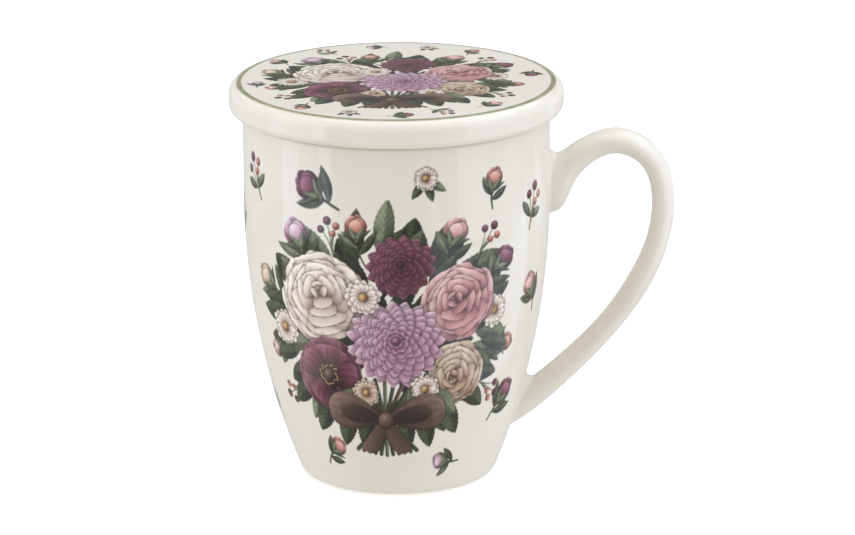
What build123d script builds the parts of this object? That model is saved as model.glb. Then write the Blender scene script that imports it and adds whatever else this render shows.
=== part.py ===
"""Lidded porcelain tea mug with a lift-out stainless steel infuser basket.

Frame: +Z is up, the origin is on the mug's axis at the height of the table, and the
handle points along +X. All sizes are in millimetres.
"""

import os
from math import cos, pi, radians, sin, sqrt

from build123d import *

os.makedirs("parts", exist_ok=True)

# ---- Mug body ------------------------------------------------------------------
mug_height = 103.7  # table to rim
mouth_radius = 42.5  # outside of the upright wall below the rim
upright_wall = 23.7  # height of the upright wall; below it the wall curves in
base_radius = 26.6  # where the curved wall would meet the table
base_rounding = 3.9
wall = 3.6
rim_rounding = 1.1
floor_thickness = 5.0  # above the hollow under the foot ring
floor_rounding = 7.0
foot_ring_width = 3.4
foot_recess = 1.8

# ---- Mug handle ----------------------------------------------------------------
handle_reach = 31.45  # middle of the strap at the grip, out from the mouth radius
handle_crest_drop = 9.2  # rim down to the middle of the strap at its highest point
handle_low_height = 17.0  # table to the middle of the strap where it meets the wall
handle_width = 10.4
handle_thickness = 6.25  # at the grip

# ---- Lid -----------------------------------------------------------------------
lid_overhang = 3.85  # past the outside of the mouth
lid_edge_height = 7.9
lid_top_rounding = 3.2
lid_bottom_rounding = 2.3
lid_plate = 4.4
spigot_depth = 5.0
spigot_wall = 3.0
spigot_chamfer = 0.8

# ---- Infuser basket ------------------------------------------------------------
sheet = 0.5  # stainless steel sheet of every infuser piece
flange_inset = 0.6  # rim's outside to the flange's edge
neck_depth = 9.0  # rim down to the end of the collar's upright neck
step_height = 4.0  # height of the cone between the neck and the skirt
basket_depth = 65.0  # rim down to the underside of the basket
collar_lap = 3.0  # collar's skirt over the top of the slotted wall
hoop_lap = 3.5  # bottom hoop's height round the slotted wall
hoop_lip = 2.5  # bottom hoop's ledge inside the slotted wall

slot_width = 1.2
slot_length = 11.0
slot_bridge = 2.6  # solid metal between two rows
slot_margin = 2.2  # solid metal beyond the collar's and the hoop's lap
slots_per_row = 24

floor_slot_width = 1.3
floor_slot_length = 8.4
floor_slot_gap = 2.6  # solid metal between two rings of slots
floor_slot_spacing = 6.0  # between neighbours in one ring, middle to middle
floor_margin = 0.7  # solid metal between the ledge and the outer ring of slots

# ---- Clearances ----------------------------------------------------------------
infuser_clearance = 0.9  # collar's neck inside the mug's mouth
basket_clearance = 2.5  # hoop inside the mug's wall, at the foot of the basket
lid_clearance = 0.8  # spigot inside the collar's neck
lap_clearance = 0.05  # between lapped sheets

# ---- Heights and radii that follow from the sizes above ------------------------
curve_top = mug_height - upright_wall
curve_inset = mouth_radius - base_radius
curve_radius = (curve_inset**2 + curve_top**2) / (2 * curve_inset)
curve_centre = mouth_radius - curve_radius
floor_height = foot_recess + floor_thickness


def wall_radius(height, depth=0.0):
    """Radius of the mug's curved wall at a height, `depth` inside its outer surface."""
    return curve_centre + sqrt((curve_radius - depth) ** 2 - (curve_top - height) ** 2)


seat_height = mug_height + sheet
lid_top = seat_height + lid_edge_height
lid_radius = mouth_radius + lid_overhang

neck_radius = mouth_radius - wall - infuser_clearance
neck_inside = neck_radius - sheet
flange_radius = mouth_radius - flange_inset
spigot_radius = neck_inside - lid_clearance

neck_bottom = mug_height - neck_depth
step_bottom = neck_bottom - step_height
hoop_bottom = mug_height - basket_depth
ledge_top = hoop_bottom + sheet
lap_outside = wall_radius(hoop_bottom, wall) - basket_clearance
lap_inside = lap_outside - sheet
basket_radius = lap_inside - lap_clearance
basket_inside = basket_radius - sheet


# ---- Mug body ------------------------------------------------------------------
# The outer form is solid. It gives the mug its outside and cuts the handle's ends.
with BuildPart() as outer_form:
    with BuildSketch(Plane.XZ) as outer_profile:
        with BuildLine():
            Polyline((base_radius, 0), (0, 0), (0, mug_height), (mouth_radius, mug_height))
            Line((mouth_radius, mug_height), (mouth_radius, curve_top))
            TangentArc((mouth_radius, curve_top), (base_radius, 0), tangent=(0, -1))
        make_face()
        base_corner = outer_profile.vertices().group_by(Axis.Y)[0].sort_by(Axis.X)[-1]
        fillet(base_corner, radius=base_rounding)
    revolve(axis=Axis.Z)

# The foot ring's edge lies where the base rounding runs out on the table.
foot_ring_radius = outer_form.faces().sort_by(Axis.Z)[0].bounding_box().max.X

with BuildPart() as mug_body:
    add(outer_form.part)
    with BuildSketch(Plane.XZ) as cavity_profile:
        middle_height = (floor_height + curve_top) / 2
        floor_edge = wall_radius(floor_height, wall)
        with BuildLine():
            Polyline(
                (floor_edge, floor_height),
                (0, floor_height),
                (0, mug_height),
                (mouth_radius - wall, mug_height),
                (mouth_radius - wall, curve_top),
            )
            ThreePointArc(
                (mouth_radius - wall, curve_top),
                (wall_radius(middle_height, wall), middle_height),
                (floor_edge, floor_height),
            )
        make_face()
        floor_corner = cavity_profile.vertices().group_by(Axis.Y)[0].sort_by(Axis.X)[-1]
        fillet(floor_corner, radius=floor_rounding)
    revolve(axis=Axis.Z, mode=Mode.SUBTRACT)
    with BuildSketch(Plane.XY):
        Circle(foot_ring_radius - foot_ring_width)
    extrude(amount=foot_recess, mode=Mode.SUBTRACT)
    rim_edges = mug_body.edges().filter_by(GeomType.CIRCLE).group_by(Axis.Z)[-1]
    fillet(rim_edges, radius=rim_rounding)
mug_body.part.label = "mug_body"
export_step(mug_body.part, "parts/mug_body.step")

# ---- Mug handle ----------------------------------------------------------------
# The strap is lofted through oval sections. Each station gives the section's middle as a
# share of the reach and of the rise, the strap's heading there in degrees up from +X, and
# its thickness as a share of the thickness at the grip. Both ends lie inside the mug's
# outer form, which trims them.
handle_rise = mug_height - handle_crest_drop - handle_low_height
handle_stations = [
    (-0.080, 0.843, 0, 2.80),
    (0.066, 0.854, 8, 2.51),
    (0.186, 0.914, 14, 1.53),
    (0.317, 0.963, 33, 1.17),
    (0.598, 1.000, 0, 1.13),
    (0.876, 0.941, -50, 1.05),
    (1.000, 0.779, -90, 1.00),
    (0.939, 0.615, -107, 1.00),
    (0.775, 0.467, -121, 1.04),
    (0.529, 0.325, -129, 1.00),
    (0.213, 0.189, -136, 1.07),
    (0.005, 0.112, -138, 1.14),
    (-0.224, 0.036, -143, 1.21),
    (-0.588, -0.058, -155, 1.22),
]

with BuildPart() as mug_handle:
    for across, up, heading, share in handle_stations:
        middle_x = mouth_radius + across * handle_reach
        middle_z = handle_low_height + up * handle_rise
        along = (cos(radians(heading)), 0, sin(radians(heading)))
        with BuildSketch(Plane(origin=(middle_x, 0, middle_z), x_dir=(0, 1, 0), z_dir=along)):
            Ellipse(handle_width / 2, share * handle_thickness / 2)
    loft()
    add(outer_form.part, mode=Mode.SUBTRACT)
mug_handle.part.label = "mug_handle"
export_step(mug_handle.part, "parts/mug_handle.step")

# ---- Lid -----------------------------------------------------------------------
with BuildPart() as lid:
    with BuildSketch(Plane.XZ) as lid_profile:
        with BuildLine():
            Polyline(
                (0, lid_top),
                (lid_radius, lid_top),
                (lid_radius, seat_height),
                (spigot_radius, seat_height),
                (spigot_radius, seat_height - spigot_depth),
                (spigot_radius - spigot_wall, seat_height - spigot_depth),
                (spigot_radius - spigot_wall, lid_top - lid_plate),
                (0, lid_top - lid_plate),
                close=True,
            )
        make_face()
        fillet(lid_profile.vertices().group_by(Axis.Y)[-1].sort_by(Axis.X)[-1], radius=lid_top_rounding)
        fillet(lid_profile.vertices().sort_by(Axis.X)[-2:].sort_by(Axis.Y)[0], radius=lid_bottom_rounding)
        chamfer(lid_profile.vertices().group_by(Axis.Y)[0], length=spigot_chamfer)
    revolve(axis=Axis.Z)
lid.part.label = "lid"
export_step(lid.part, "parts/lid.step")

# ---- Infuser collar ------------------------------------------------------------
# One pressed sheet: a flange on the mug's rim, a neck in its mouth, a cone, and a skirt
# that laps over the top of the slotted wall. The line is the sheet's inner side.
with BuildPart() as infuser_collar:
    with BuildSketch(Plane.XZ):
        with BuildLine():
            Polyline(
                (flange_radius, seat_height),
                (neck_inside, seat_height),
                (neck_inside, neck_bottom),
                (lap_inside, step_bottom),
                (lap_inside, step_bottom - collar_lap),
            )
            offset(amount=sheet, side=Side.LEFT, kind=Kind.INTERSECTION)
        make_face()
    revolve(axis=Axis.Z)
infuser_collar.part.label = "infuser_collar"
export_step(infuser_collar.part, "parts/infuser_collar.step")

# ---- Infuser wall --------------------------------------------------------------
# A sheet tube with rows of upright slots. Every second row is turned by half a pitch.
slots_top = step_bottom - collar_lap - slot_margin
slots_bottom = hoop_bottom + hoop_lap + slot_margin
slot_pitch = slot_length + slot_bridge
row_count = int((slots_top - slots_bottom + slot_bridge) // slot_pitch)
half_turn = 180 / slots_per_row
first_row = (slots_top + slots_bottom - (row_count - 1) * slot_pitch) / 2

with BuildPart() as infuser_wall:
    with BuildSketch(Plane.XY.offset(ledge_top)):
        Circle(basket_radius)
        Circle(basket_inside, mode=Mode.SUBTRACT)
    extrude(amount=step_bottom - ledge_top)
    for row in range(row_count):
        row_height = first_row + row * slot_pitch
        with Locations((0, 0, row_height)):
            with PolarLocations(basket_radius, slots_per_row, start_angle=(row % 2) * half_turn):
                Box(4 * sheet, slot_width, slot_length, mode=Mode.SUBTRACT)
infuser_wall.part.label = "infuser_wall"
export_step(infuser_wall.part, "parts/infuser_wall.step")

# ---- Infuser floor -------------------------------------------------------------
# A disc inside the slotted wall, on the hoop's ledge, with rings of radial slots.
floor_disc_radius = basket_inside - lap_clearance
floor_field = basket_inside - hoop_lip - floor_margin
ring_pitch = floor_slot_length + floor_slot_gap
ring_count = int(floor_field // ring_pitch)

with BuildPart() as infuser_floor:
    with BuildSketch(Plane.XY.offset(ledge_top)):
        Circle(floor_disc_radius)
        for ring in range(ring_count):
            ring_radius = floor_field - floor_slot_length / 2 - ring * ring_pitch
            slots_in_ring = round(2 * pi * ring_radius / floor_slot_spacing)
            with PolarLocations(ring_radius, slots_in_ring):
                Rectangle(floor_slot_length, floor_slot_width, mode=Mode.SUBTRACT)
    extrude(amount=sheet)
infuser_floor.part.label = "infuser_floor"
export_step(infuser_floor.part, "parts/infuser_floor.step")

# ---- Infuser hoop --------------------------------------------------------------
# An angle-section band round the foot of the slotted wall. Its ledge carries the wall and
# the floor. The line is the sheet's inner side.
with BuildPart() as infuser_hoop:
    with BuildSketch(Plane.XZ):
        with BuildLine():
            Polyline(
                (lap_inside, hoop_bottom + hoop_lap),
                (lap_inside, ledge_top),
                (basket_inside - hoop_lip, ledge_top),
            )
            offset(amount=sheet, side=Side.LEFT, kind=Kind.INTERSECTION)
        make_face()
    revolve(axis=Axis.Z)
infuser_hoop.part.label = "infuser_hoop"
export_step(infuser_hoop.part, "parts/infuser_hoop.step")
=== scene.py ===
"""Looks of a lidded porcelain tea mug with a steel infuser basket.

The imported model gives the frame. Sizes are written in millimetres, as in the mug's own
drawing, and turned to metres where a mesh is made.
"""

import logging
from dataclasses import dataclass
from enum import Enum
from typing import Callable

import bpy
import numpy as np
from mathutils import Euler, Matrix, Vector


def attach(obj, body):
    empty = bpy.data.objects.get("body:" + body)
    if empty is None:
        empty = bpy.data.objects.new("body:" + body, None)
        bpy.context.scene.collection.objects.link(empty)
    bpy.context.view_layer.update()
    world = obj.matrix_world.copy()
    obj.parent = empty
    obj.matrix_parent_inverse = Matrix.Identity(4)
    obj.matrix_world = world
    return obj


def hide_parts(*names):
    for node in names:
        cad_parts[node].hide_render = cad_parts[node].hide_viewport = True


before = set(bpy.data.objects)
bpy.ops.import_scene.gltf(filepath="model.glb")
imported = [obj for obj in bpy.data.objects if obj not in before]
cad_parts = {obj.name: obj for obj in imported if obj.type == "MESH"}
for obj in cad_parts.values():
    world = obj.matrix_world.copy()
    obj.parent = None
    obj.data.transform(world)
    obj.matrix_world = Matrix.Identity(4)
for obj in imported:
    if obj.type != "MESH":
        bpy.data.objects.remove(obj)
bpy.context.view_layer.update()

log = logging.getLogger("tea_mug")
Array = np.ndarray
Material = bpy.types.Material
World = bpy.types.World
Socket = bpy.types.NodeSocket
Settings = dict[str | int, object]
Links = dict[str | int, Socket]
Point = tuple[float, float]
Faces = list[tuple[int, ...]]
Pair = tuple[Array, Array]

MM = 0.001
TURN = 2 * np.pi
INK = "ink"
SPRIG_SIZE = 17.0
CELL_MARGIN = 0.02


# ---- Shapes --------------------------------------------------------------------
def together(*values: Array) -> Array:
    """Values side by side along a new last axis."""
    return np.stack(values, axis=-1)


def polar(radius: Array | float, angle: Array | float, *height: Array) -> Array:
    """Places from a distance and an angle round the axis, (r cos a, r sin a), and a height."""
    return together(radius * np.cos(angle), radius * np.sin(angle), *height)


def rotated(across: Array | float, up: Array | float, turn: float) -> Pair:
    """Flat places turned to the left: (u cos t - v sin t, u sin t + v cos t)."""
    cosine, sine = np.cos(turn), np.sin(turn)
    return across * cosine - up * sine, across * sine + up * cosine


def line(start: Point, end: Point, step: float = 2.0) -> Array:
    """Points on a straight line: start + share * (end - start), ends included.

    Args:
        start: radius and height of the first point.
        end: radius and height of the last point.
        step: longest distance between two points.

    Returns:
        Points, one row each.
    """
    first, last = np.array(start, float), np.array(end, float)
    count = max(2, int(np.ceil(np.linalg.norm(last - first) / step)) + 1)
    return first + np.linspace(0, 1, count)[:, None] * (last - first)


def arc(centre: Point, radius: float, start: float, end: float, step: float) -> Array:
    """Points on a circle: centre + radius * (cos, sin) of an angle that runs evenly.

    Args:
        centre: radius and height of the circle's middle.
        radius: radius of the circle.
        start: first angle in radians.
        end: last angle in radians.
        step: longest distance between two points.

    Returns:
        Points, one row each.
    """
    count = max(5, int(np.ceil(abs(end - start) * radius / step)) + 1)
    angle = np.linspace(start, end, count)
    return np.array(centre) + polar(radius, angle)


def joined(*runs: Array) -> Array:
    """Runs of points as one line, with points that fall on the one before left out."""
    points = np.concatenate(runs)
    apart = np.linalg.norm(np.diff(points, axis=0), axis=1) > 1e-6
    return points[np.concatenate([[True], apart])]


def conic(start: Array, corner: Array, end: Array, weight: Array | float, share: Array | float) -> Array:
    """Round bend from start to end with the corner as its control point: the mean of the three,
    weighed by (1 - t)^2, 2 t (1 - t) weight and t^2, where t is the share. With the cosine of
    half the turn as its weight it is a true circle."""
    a, b, c = (1 - share) ** 2, 2 * share * (1 - share) * weight, share**2
    return (a * start + b * corner + c * end) / (a + b + c)


def bent(corners: list[Point], radii: list[float]) -> Array:
    """Straight runs with a round bend at each inner corner.

    A bend touches both runs at radius * tan(half the turn) from the corner.

    Args:
        corners: radius and height of each corner, ends included.
        radii: radius of each bend.

    Returns:
        Points, one row each.
    """
    places = np.array(corners, float)
    share = np.linspace(0, 1, 9)[:, None]
    runs = [places[:1]]
    for corner, radius, before, after in zip(places[1:-1], radii, places[:-2], places[2:]):
        arriving, leaving = unit(corner - before), unit(after - corner)
        half = np.arccos(np.clip(arriving @ leaving, -1, 1)) / 2
        start = corner - arriving * radius * np.tan(half)
        end = corner + leaving * radius * np.tan(half)
        runs.append(conic(start, corner, end, np.cos(half), share))
    return np.concatenate([*runs, places[-1:]])


def thickened(side: Array, sheet: float) -> Array:
    """Closed section of a sheet: one side, the same line moved along its normal, and a half
    circle round each end.

    The normal at a point is the mean of the normals of the two stretches that meet there,
    and the move is sheet / cosine of half the turn, so that the sheet keeps its thickness.

    Args:
        side: points of one side, radius and height.
        sheet: thickness, to the left of the line's direction.

    Returns:
        Closed section, one row per point, without a repeated last point.
    """
    along = unit(np.diff(side, axis=0))
    left = together(-along[:, 1], along[:, 0])
    after = np.concatenate([left, left[-1:]])
    middle = unit(np.concatenate([left[:1], left]) + after)
    other = side + middle * sheet / np.sum(middle * after, axis=1, keepdims=True)
    turn = np.linspace(0, np.pi, 7)[1:-1, None]
    last = (side[-1] + other[-1]) / 2 + (np.sin(turn) * along[-1] - np.cos(turn) * left[-1]) * sheet / 2
    first = (side[0] + other[0]) / 2 + (np.cos(turn) * left[0] - np.sin(turn) * along[0]) * sheet / 2
    return np.concatenate([side, last, other[::-1], first])


def tuples(corners: Array) -> Faces:
    """Rows of corner numbers as faces."""
    return [tuple(face) for face in corners.tolist()]


@dataclass
class Surface:
    """Points in millimetres and the faces between them."""

    points: Array
    faces: Faces

    def outward(self) -> "Surface":
        """The same closed surface with its faces pointing out, told by the sign of its volume."""
        volume = 0.0
        for size in {len(face) for face in self.faces}:
            corners = np.array([face for face in self.faces if len(face) == size])
            for second in range(1, size - 1):
                triangle = corners[:, [0, second, second + 1]]
                a, b, c = (self.points[triangle[:, k]] for k in range(3))
                volume += float(np.sum(a * np.cross(b, c)))
        if volume < 0:
            self.faces = [tuple(reversed(face)) for face in self.faces]
        return self


def grid_faces(rows: int, columns: int, close_rows: bool = False, close_columns: bool = False) -> Array:
    """Four-cornered faces of a grid of points that is numbered row by row.

    Args:
        rows: number of rows of points.
        columns: number of points in a row.
        close_rows: whether the last row joins the first.
        close_columns: whether the last point of a row joins its first.

    Returns:
        Corner numbers, four in each row.
    """
    row = np.arange(rows if close_rows else rows - 1)
    column = np.arange(columns if close_columns else columns - 1)
    here = row[:, None] * columns
    above = ((row + 1) % rows)[:, None] * columns
    right = (column + 1) % columns
    return together(here + column, here + right, above + right, above + column).reshape(-1, 4)


def fan(centre: int, first: int, count: int, forward: bool) -> Faces:
    """Triangles that close a ring of points to one point.

    Args:
        centre: number of the point in the middle.
        first: number of the ring's first point.
        count: number of points in the ring.
        forward: whether the triangles run with the ring.

    Returns:
        The triangles.
    """
    here = np.arange(count)
    after = (here + 1) % count
    pair = (here, after) if forward else (after, here)
    return tuples(together(np.full(count, centre), first + pair[0], first + pair[1]))


def pierced(flat: Array, faces: Array, sheet: float, place: Callable[[Array, float], Array]) -> Surface:
    """A sheet with holes: a pattern at its face and again at its back, joined at every edge
    that only one face of the pattern has.

    Args:
        flat: places of the pattern's points.
        faces: its four-cornered faces.
        sheet: thickness.
        place: gives points for flat places at a depth under the face.

    Returns:
        Closed surface with its faces pointing out.
    """
    edges = np.concatenate([faces[:, [corner, (corner + 1) % 4]] for corner in range(4)])
    _, which, uses = np.unique(np.sort(edges, axis=1), axis=0, return_inverse=True, return_counts=True)
    rim = edges[uses[which.ravel()] == 1]
    back = len(flat)
    sides = together(rim[:, 1], rim[:, 0], rim[:, 0] + back, rim[:, 1] + back)
    corners = np.concatenate([faces, faces[:, ::-1] + back, sides])
    points = np.concatenate([place(flat, 0.0), place(flat, sheet)])
    return Surface(points, tuples(corners)).outward()


def turned(profile: Array, segments: int, ring: bool = False) -> Surface:
    """Surface of revolution: (r cos a, r sin a, z) for each profile point and each angle a.

    Args:
        profile: radius and height of each point. Unless it is a ring, the first and the last
            point lie on the axis and become single closed poles.
        segments: number of points round the axis.
        ring: whether the profile is a closed loop that stays off the axis.

    Returns:
        Closed surface with its faces pointing out.
    """
    angle = np.linspace(0, TURN, segments, endpoint=False)
    body = profile if ring else profile[1:-1]
    radius, height = body[:, :1], body[:, 1:]
    points = polar(radius, angle, height + 0 * angle).reshape(-1, 3)
    faces = tuples(grid_faces(len(body), segments, ring, True))
    if not ring:
        count = len(points)
        points = np.concatenate([points, [[0, 0, profile[0, 1]], [0, 0, profile[-1, 1]]]])
        faces += fan(count, 0, segments, False) + fan(count + 1, count - segments, segments, True)
    return Surface(points, faces).outward()


def natural_spline(knots: Array, values: Array, at: Array) -> Array:
    """Smooth curve through values: a cubic in each span, with equal slopes and bends where
    two spans meet and no bend at the ends.

    Args:
        knots: rising places of the values.
        values: one row for each knot.
        at: places where the curve is wanted.

    Returns:
        One row for each place.
    """
    span = np.diff(knots)
    slope = np.diff(values, axis=0) / span[:, None]
    count = len(knots)
    system = np.eye(count)
    inner = np.arange(1, count - 1)
    system[inner, inner - 1] = span[:-1]
    system[inner, inner] = 2 * (span[:-1] + span[1:])
    system[inner, inner + 1] = span[1:]
    right = np.zeros_like(values)
    right[1:-1] = 6 * np.diff(slope, axis=0)
    bend = np.linalg.solve(system, right)
    piece = np.clip(np.searchsorted(knots, at, side="right") - 1, 0, count - 2)
    width = span[piece][:, None]
    after = (at - knots[piece])[:, None]
    before = width - after
    return (
        (bend[piece] * before**3 + bend[piece + 1] * after**3) / (6 * width)
        + (values[piece] / width - bend[piece] * width / 6) * before
        + (values[piece + 1] / width - bend[piece + 1] * width / 6) * after
    )


def unit(vectors: Array) -> Array:
    """Vectors brought to a length of one."""
    return vectors / np.linalg.norm(vectors, axis=-1, keepdims=True)


def smooth_step(value: Array, low: float, high: float) -> Array:
    """Share that rises from 0 at low to 1 at high: 3 x^2 - 2 x^3."""
    share = np.clip((value - low) / (high - low), 0, 1)
    return share * share * (3 - 2 * share)


# ---- Materials -----------------------------------------------------------------
def shares(code: str) -> Array:
    """Red, green and blue of an sRGB hex code such as #E6E1D7, as shares."""
    return np.array([int(code[k : k + 2], 16) for k in (1, 3, 5)]) / 255


def linearised(channel: Array) -> Array:
    """Linear light of sRGB shares."""
    return np.where(channel <= 0.04045, channel / 12.92, ((channel + 0.055) / 1.055) ** 2.4)


def linear(code: str) -> tuple[float, float, float, float]:
    """Linear colour of an sRGB hex code, with full cover."""
    return (*linearised(shares(code)).tolist(), 1.0)


def per_metre(size: float) -> float:
    """How many lumps of a size in millimetres a metre holds."""
    return 1 / (size * MM)


def add_node(
    material: Material | World, kind: str, settings: Settings | None = None, links: Links | None = None
) -> bpy.types.Node:
    """Adds a node to a material.

    Args:
        material: the material that gets the node.
        kind: Blender's name for the kind of node.
        settings: values by name, of the node itself or of its inputs.
        links: output sockets by the name or number of the input that they feed.

    Returns:
        The new node.
    """
    tree = material.node_tree
    node = tree.nodes.new(kind)
    for name, value in (settings or {}).items():
        if isinstance(name, int) or name in node.inputs:
            node.inputs[name].default_value = value
        else:
            setattr(node, name, value)
    for name, socket in (links or {}).items():
        tree.links.new(socket, node.inputs[name])
    return node


def noise(material: Material, place: Socket, scale: float, detail: float, roughness: float = 0.5) -> Socket:
    """Smooth random factor of a place, with a number of lumps in each of its units."""
    settings = {"Scale": scale, "Detail": detail, "Roughness": roughness}
    return add_node(material, "ShaderNodeTexNoise", settings, {"Vector": place}).outputs["Fac"]


def ranged(
    material: Material | World, value: Socket, low: float, high: float, start: float = 0.0, end: float = 1.0
) -> Socket:
    """Factor that runs from low to high while the value runs from start to end."""
    settings = {"From Min": start, "From Max": end, "To Min": low, "To Max": high}
    return add_node(material, "ShaderNodeMapRange", settings, {"Value": value}).outputs["Result"]


def bumped(material: Material, relief: Socket, height: float, under: Socket | None = None) -> Socket:
    """Normal of a relief of a height in millimetres, over another normal where there is one."""
    links = {"Height": relief} | ({} if under is None else {"Normal": under})
    settings = {"Strength": 1.0, "Distance": height * MM}
    return add_node(material, "ShaderNodeBump", settings, links).outputs["Normal"]


def blended(material: Material, factor: Socket, first: Socket, second: Socket | str) -> Socket:
    """Colour that goes from the first to the second, a socket or an sRGB hex code."""
    node = add_node(material, "ShaderNodeMix", {"data_type": "RGBA"}, {0: factor, 6: first})
    if isinstance(second, str):
        node.inputs[7].default_value = linear(second)
    else:
        material.node_tree.links.new(second, node.inputs[7])
    return node.outputs[2]


def ramp(material: Material, factor: Socket, stops: dict[float, str]) -> Socket:
    """Colour from a factor through stops given as place: hex code."""
    node = add_node(material, "ShaderNodeValToRGB", links={"Fac": factor})
    elements = node.color_ramp.elements
    for index, (place, code) in enumerate(stops.items()):
        element = elements[index] if index < len(elements) else elements.new(place)
        element.position = place
        element.color = linear(code)
    return node.outputs["Color"]


def new_material(name: str) -> Material:
    """An empty node material."""
    material = bpy.data.materials.new(name)
    material.use_nodes = True
    material.node_tree.nodes.clear()
    return material


def place_on(material: Material) -> Socket:
    """Places on the piece, in metres."""
    return add_node(material, "ShaderNodeTexCoord").outputs["Object"]


def surfaced(material: Material, settings: Settings, links: Links | None = None) -> Material:
    """Closes a material with one principled shader."""
    shader = add_node(material, "ShaderNodeBsdfPrincipled", settings, links)
    add_node(material, "ShaderNodeOutputMaterial", links={"Surface": shader.outputs["BSDF"]})
    return material


@dataclass(frozen=True)
class GlazedPorcelain:
    """Hard porcelain, cast and turned, under a clear glossy glaze.

    To the eye: a warm ivory body with faint clouds in its tone, sharp white reflections that
    waver a little where the glaze has settled, and a dry bare ring where the foot stands.
    """

    body: str = "#E9E5DB"
    cloud: str = "#E5E0D5"
    bare: str = "#D8D0C2"
    bare_rough: float = 0.75
    cloud_size: float = 34.0  # mm
    wave_size: float = 16.0  # mm, slow waves in the glaze
    wave_height: float = 0.018
    pit_size: float = 1.6  # mm, orange peel of a fired glaze
    pit_height: float = 0.0006
    foot_top: float = 0.35
    gloss: float = 0.055
    ior: float = 1.50

    def colour(self, made: Material, place: Socket) -> Socket:
        """Two ivory tones, mixed by a slow noise."""
        clouds = noise(made, place, per_metre(self.cloud_size), 2.0, 0.45)
        return ramp(made, clouds, {0.35: self.cloud, 0.65: self.body})

    def relief(self, made: Material, place: Socket) -> Socket:
        """Slow waves in the glaze, and fine orange peel over them."""
        waves = bumped(made, noise(made, place, per_metre(self.wave_size), 1.0, 0.4), self.wave_height)
        return bumped(made, noise(made, place, per_metre(self.pit_size), 1.0, 0.4), self.pit_height, waves)

    def closed(self, made: Material, place: Socket, colour: Socket, rough: Socket) -> Material:
        """Closes a material with the surface of the glaze."""
        links = {"Base Color": colour, "Roughness": rough, "Normal": self.relief(made, place)}
        return surfaced(made, {"IOR": self.ior}, links)

    def material(self) -> Material:
        """The plain glazed porcelain, bare on the ring that it stands on."""
        made = new_material("glazed_porcelain")
        place = place_on(made)
        height = add_node(made, "ShaderNodeSeparateXYZ", links={"Vector": place}).outputs["Z"]
        top = self.foot_top * MM
        bare = ranged(made, height, 1.0, 0.0, top / 2, top)
        colour = blended(made, bare, self.colour(made, place), self.bare)
        return self.closed(made, place, colour, ranged(made, bare, self.gloss, self.bare_rough))


@dataclass(frozen=True)
class PrintedTransfer:
    """Ceramic colours printed on a transfer sheet and fired onto the glaze.

    To the eye: soft painted colour that sits in the gloss of the glaze, a touch less shiny
    where the ink is dense, and nothing but glaze where there is no ink.
    """

    glaze: GlazedPorcelain
    ink_gloss: float = 0.08
    grain_size: float = 0.5  # mm, ceramic colour, drawn coarser than its 0.02 mm grit
    grain_depth: float = 0.05

    def material(self) -> Material:
        """Glaze under ink, where ink and its cover come from the piece's own attribute."""
        made = new_material("fired_transfer_print")
        place = place_on(made)
        ink = add_node(made, "ShaderNodeAttribute", {"attribute_name": INK})
        grain = noise(made, place, per_metre(self.grain_size), 2.0)
        shade = ranged(made, grain, 1 - self.grain_depth, 1 + self.grain_depth)
        links = {"Vector": ink.outputs["Color"], "Scale": shade}
        grained = add_node(made, "ShaderNodeVectorMath", {"operation": "SCALE"}, links).outputs["Vector"]
        cover = ink.outputs["Alpha"]
        colour = blended(made, cover, self.glaze.colour(made, place), grained)
        return self.glaze.closed(made, place, colour, ranged(made, cover, self.glaze.gloss, self.ink_gloss))


class Grain(Enum):
    """How the lines of a brushed finish run."""

    ROUND = "round the axis"
    ALONG_SPREAD = "straight across a disc"


@dataclass(frozen=True)
class BrushedSteel:
    """Stainless steel sheet, 18/10, brushed with a fine belt before it was pressed.

    To the eye: a warm grey mirror broken into fine lines, which stretch every reflection
    across them, with a little cloud where hands and tea have dulled it.
    """

    metal: str = "#C4C2BE"
    dull: str = "#A9A6A1"
    line_width: float = 0.35  # mm, drawn coarser than a belt's 0.05 mm scratch
    line_length: float = 22.0  # mm
    line_depth: float = 0.004
    cloud_size: float = 18.0
    polish: float = 0.27
    rough: float = 0.40
    stretch: float = 0.55

    def material(self, grain: Grain) -> Material:
        """The steel with its lines in the direction of the grain."""
        made = new_material(f"brushed_stainless_steel_{grain.name.lower()}")
        place = place_on(made)
        along, across = per_metre(self.line_length), per_metre(self.line_width)
        scale = (along, along if grain is Grain.ROUND else across, across)
        drawn = add_node(made, "ShaderNodeMapping", {"Scale": scale}, {"Vector": place}).outputs["Vector"]
        lines = noise(made, drawn, 1.0, 3.0, 0.6)
        clouds = noise(made, place, per_metre(self.cloud_size), 2.0)
        links = {
            "Base Color": ramp(made, lines, {0.25: self.dull, 0.7: self.metal}),
            "Roughness": ranged(made, clouds, self.polish, self.rough, 0.3, 0.7),
            "Normal": bumped(made, lines, self.line_depth),
        }
        return surfaced(made, {"Metallic": 1.0, "Anisotropic": self.stretch}, links)


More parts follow.
